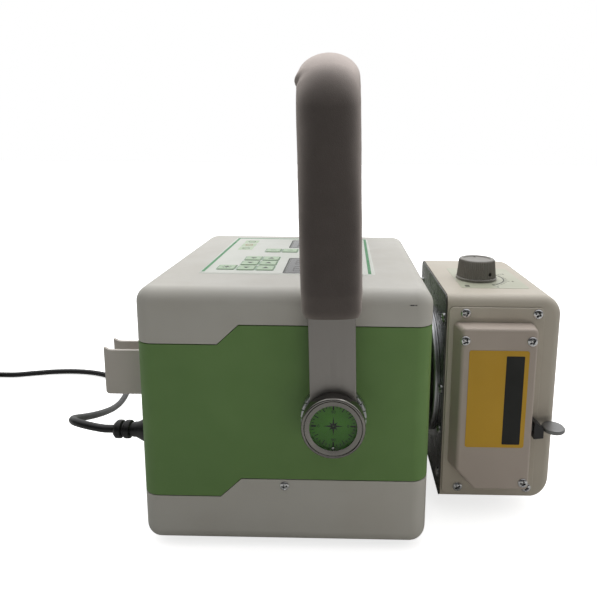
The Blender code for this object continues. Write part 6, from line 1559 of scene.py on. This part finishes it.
def add_knob_scale(name, plane, low, high, start, end):
    """A thin printed scale film round a knob, with its arc, ticks and plain numbers."""
    slot, film, above = "collimator_cream", 0.00015, LIFT * 2 + 0.00015
    printed(name + "_film", plane, "scale_film", "collimator", slot, loops=[rounded(*low, *high, 0.003)], ink=film)
    angles = [start + (end - start) * step / 10 for step in range(11)]
    ticks = [tick(angle, 0.0265, 0.0298 if step % 5 else 0.0318, 0.0007) for step, angle in enumerate(angles)]
    u, v = low[0] + 0.0045, low[1] + 0.0045
    leaves = [rectangle(u, v, u + 0.0042, v + 0.0020), rectangle(u, v + 0.0032, u + 0.0042, v + 0.0052)]
    printed(name + "_marks", plane, "ink_black", "collimator", slot, loops=ticks + leaves, lift=above,
            bands=[arc_band(0.0262, 0.0008, start, end)])
    for index, step in enumerate((0, 5, 10)):
        spot = polar(0.0350, angles[step])
        if all(least + 0.004 < value < most - 0.004 for least, value, most in zip(low, spot, high)):
            add_number(f"{name}_number_{index + 1}", str(step), 0.0034, plane, spot, "ink_black", "collimator", slot,
                       lift=above)


def add_collimator_print():
    """Both knobs' scales and pointers, the plain yellow plate with its black band, and the window's cross lines."""
    low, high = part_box("top_knob")
    x, y = ((low + high) / 2).xy
    pointer = [tick(90, 0.0085, 0.0118, 0.0016)]
    across, up = (1, 0, 0), (0, 1, 0)
    plane = facing((x, y, COLLIMATOR_TOP), across, up)
    add_knob_scale("top_scale", plane, (-0.0218, -0.0369), (0.0412, 0.0421), -69, 30)
    printed("top_knob_pointer", facing((x, y, high.z - 0.0006), across, up), "ink_black", "top_knob", "knob_grey",
            loops=pointer)
    low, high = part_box("far_knob")
    x, z = ((low + high) / 2).xz
    across, up = (-1, 0, 0), (0, 0, 1)
    plane = facing((x, COLLIMATOR_FAR, z), across, up)
    add_knob_scale("far_scale", plane, (-0.0412, -0.0369), (0.0218, 0.0421), 150, 249)
    printed("far_knob_pointer", facing((x, high.y - 0.0006, z), across, up), "ink_black", "far_knob", "knob_grey",
            loops=pointer)
    plate = 0.00025
    plane = facing(place(0.2770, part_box("side_box")[0].y, 0.0700), (1, 0, 0), up)
    printed("side_plate_yellow", plane, "plate_yellow", "collimator", "collimator_cream",
            loops=[rounded(0.0, 0.0, 0.0520, 0.0905, 0.0020)], ink=plate)
    printed("side_plate_band", plane, "ink_black", "collimator", "collimator_cream",
            loops=[rounded(0.0324, 0.0030, 0.0482, 0.0856, 0.0008)], lift=LIFT * 2 + plate)
    low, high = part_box("front_window")
    middle = (low + high) / 2
    gap, thin, half = 0.004, 0.00025, (high.y - low.y) / 2 - 0.004
    lines = [rectangle(-half, -thin, -gap, thin), rectangle(gap, -thin, half, thin),
             rectangle(-thin, -half, thin, -gap), rectangle(-thin, gap, thin, half)]
    printed("window_cross_lines", facing((high.x, middle.y, middle.z), (0, 1, 0), up), "ink_dark", "collimator",
            "window_clear", loops=lines)


def add_rocker_marks():
    low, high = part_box("power_rocker")
    plane = facing((low.x - 0.0001, (low.y + high.y) / 2, (low.z + high.z) / 2), (0, -1, 0), (0, 0, 1))
    ring = (circle(0.0016, 24, (0.0, -0.0062)), circle(0.0012, 24, (0.0, -0.0062)))
    printed("rocker_marks", plane, "ink_pale", "rocker", "inlet_black", closed_bands=[ring])


dress_nodes()
add_camera()
add_studio()
add_housing()
add_collimator()
add_side_box()
add_knobs()
add_hubs()
add_swivel()
add_switch_holder()
add_connector()
add_tape_tab()
add_lead()
add_coil_tie()
add_plug()
add_grip()
add_strap()
add_screws()
add_panel_rim()
add_panel_print()
for dial_side, sign in (("near", -1), ("far", 1)):
    add_dial(dial_side, sign)
add_collimator_print()
add_rocker_marks()
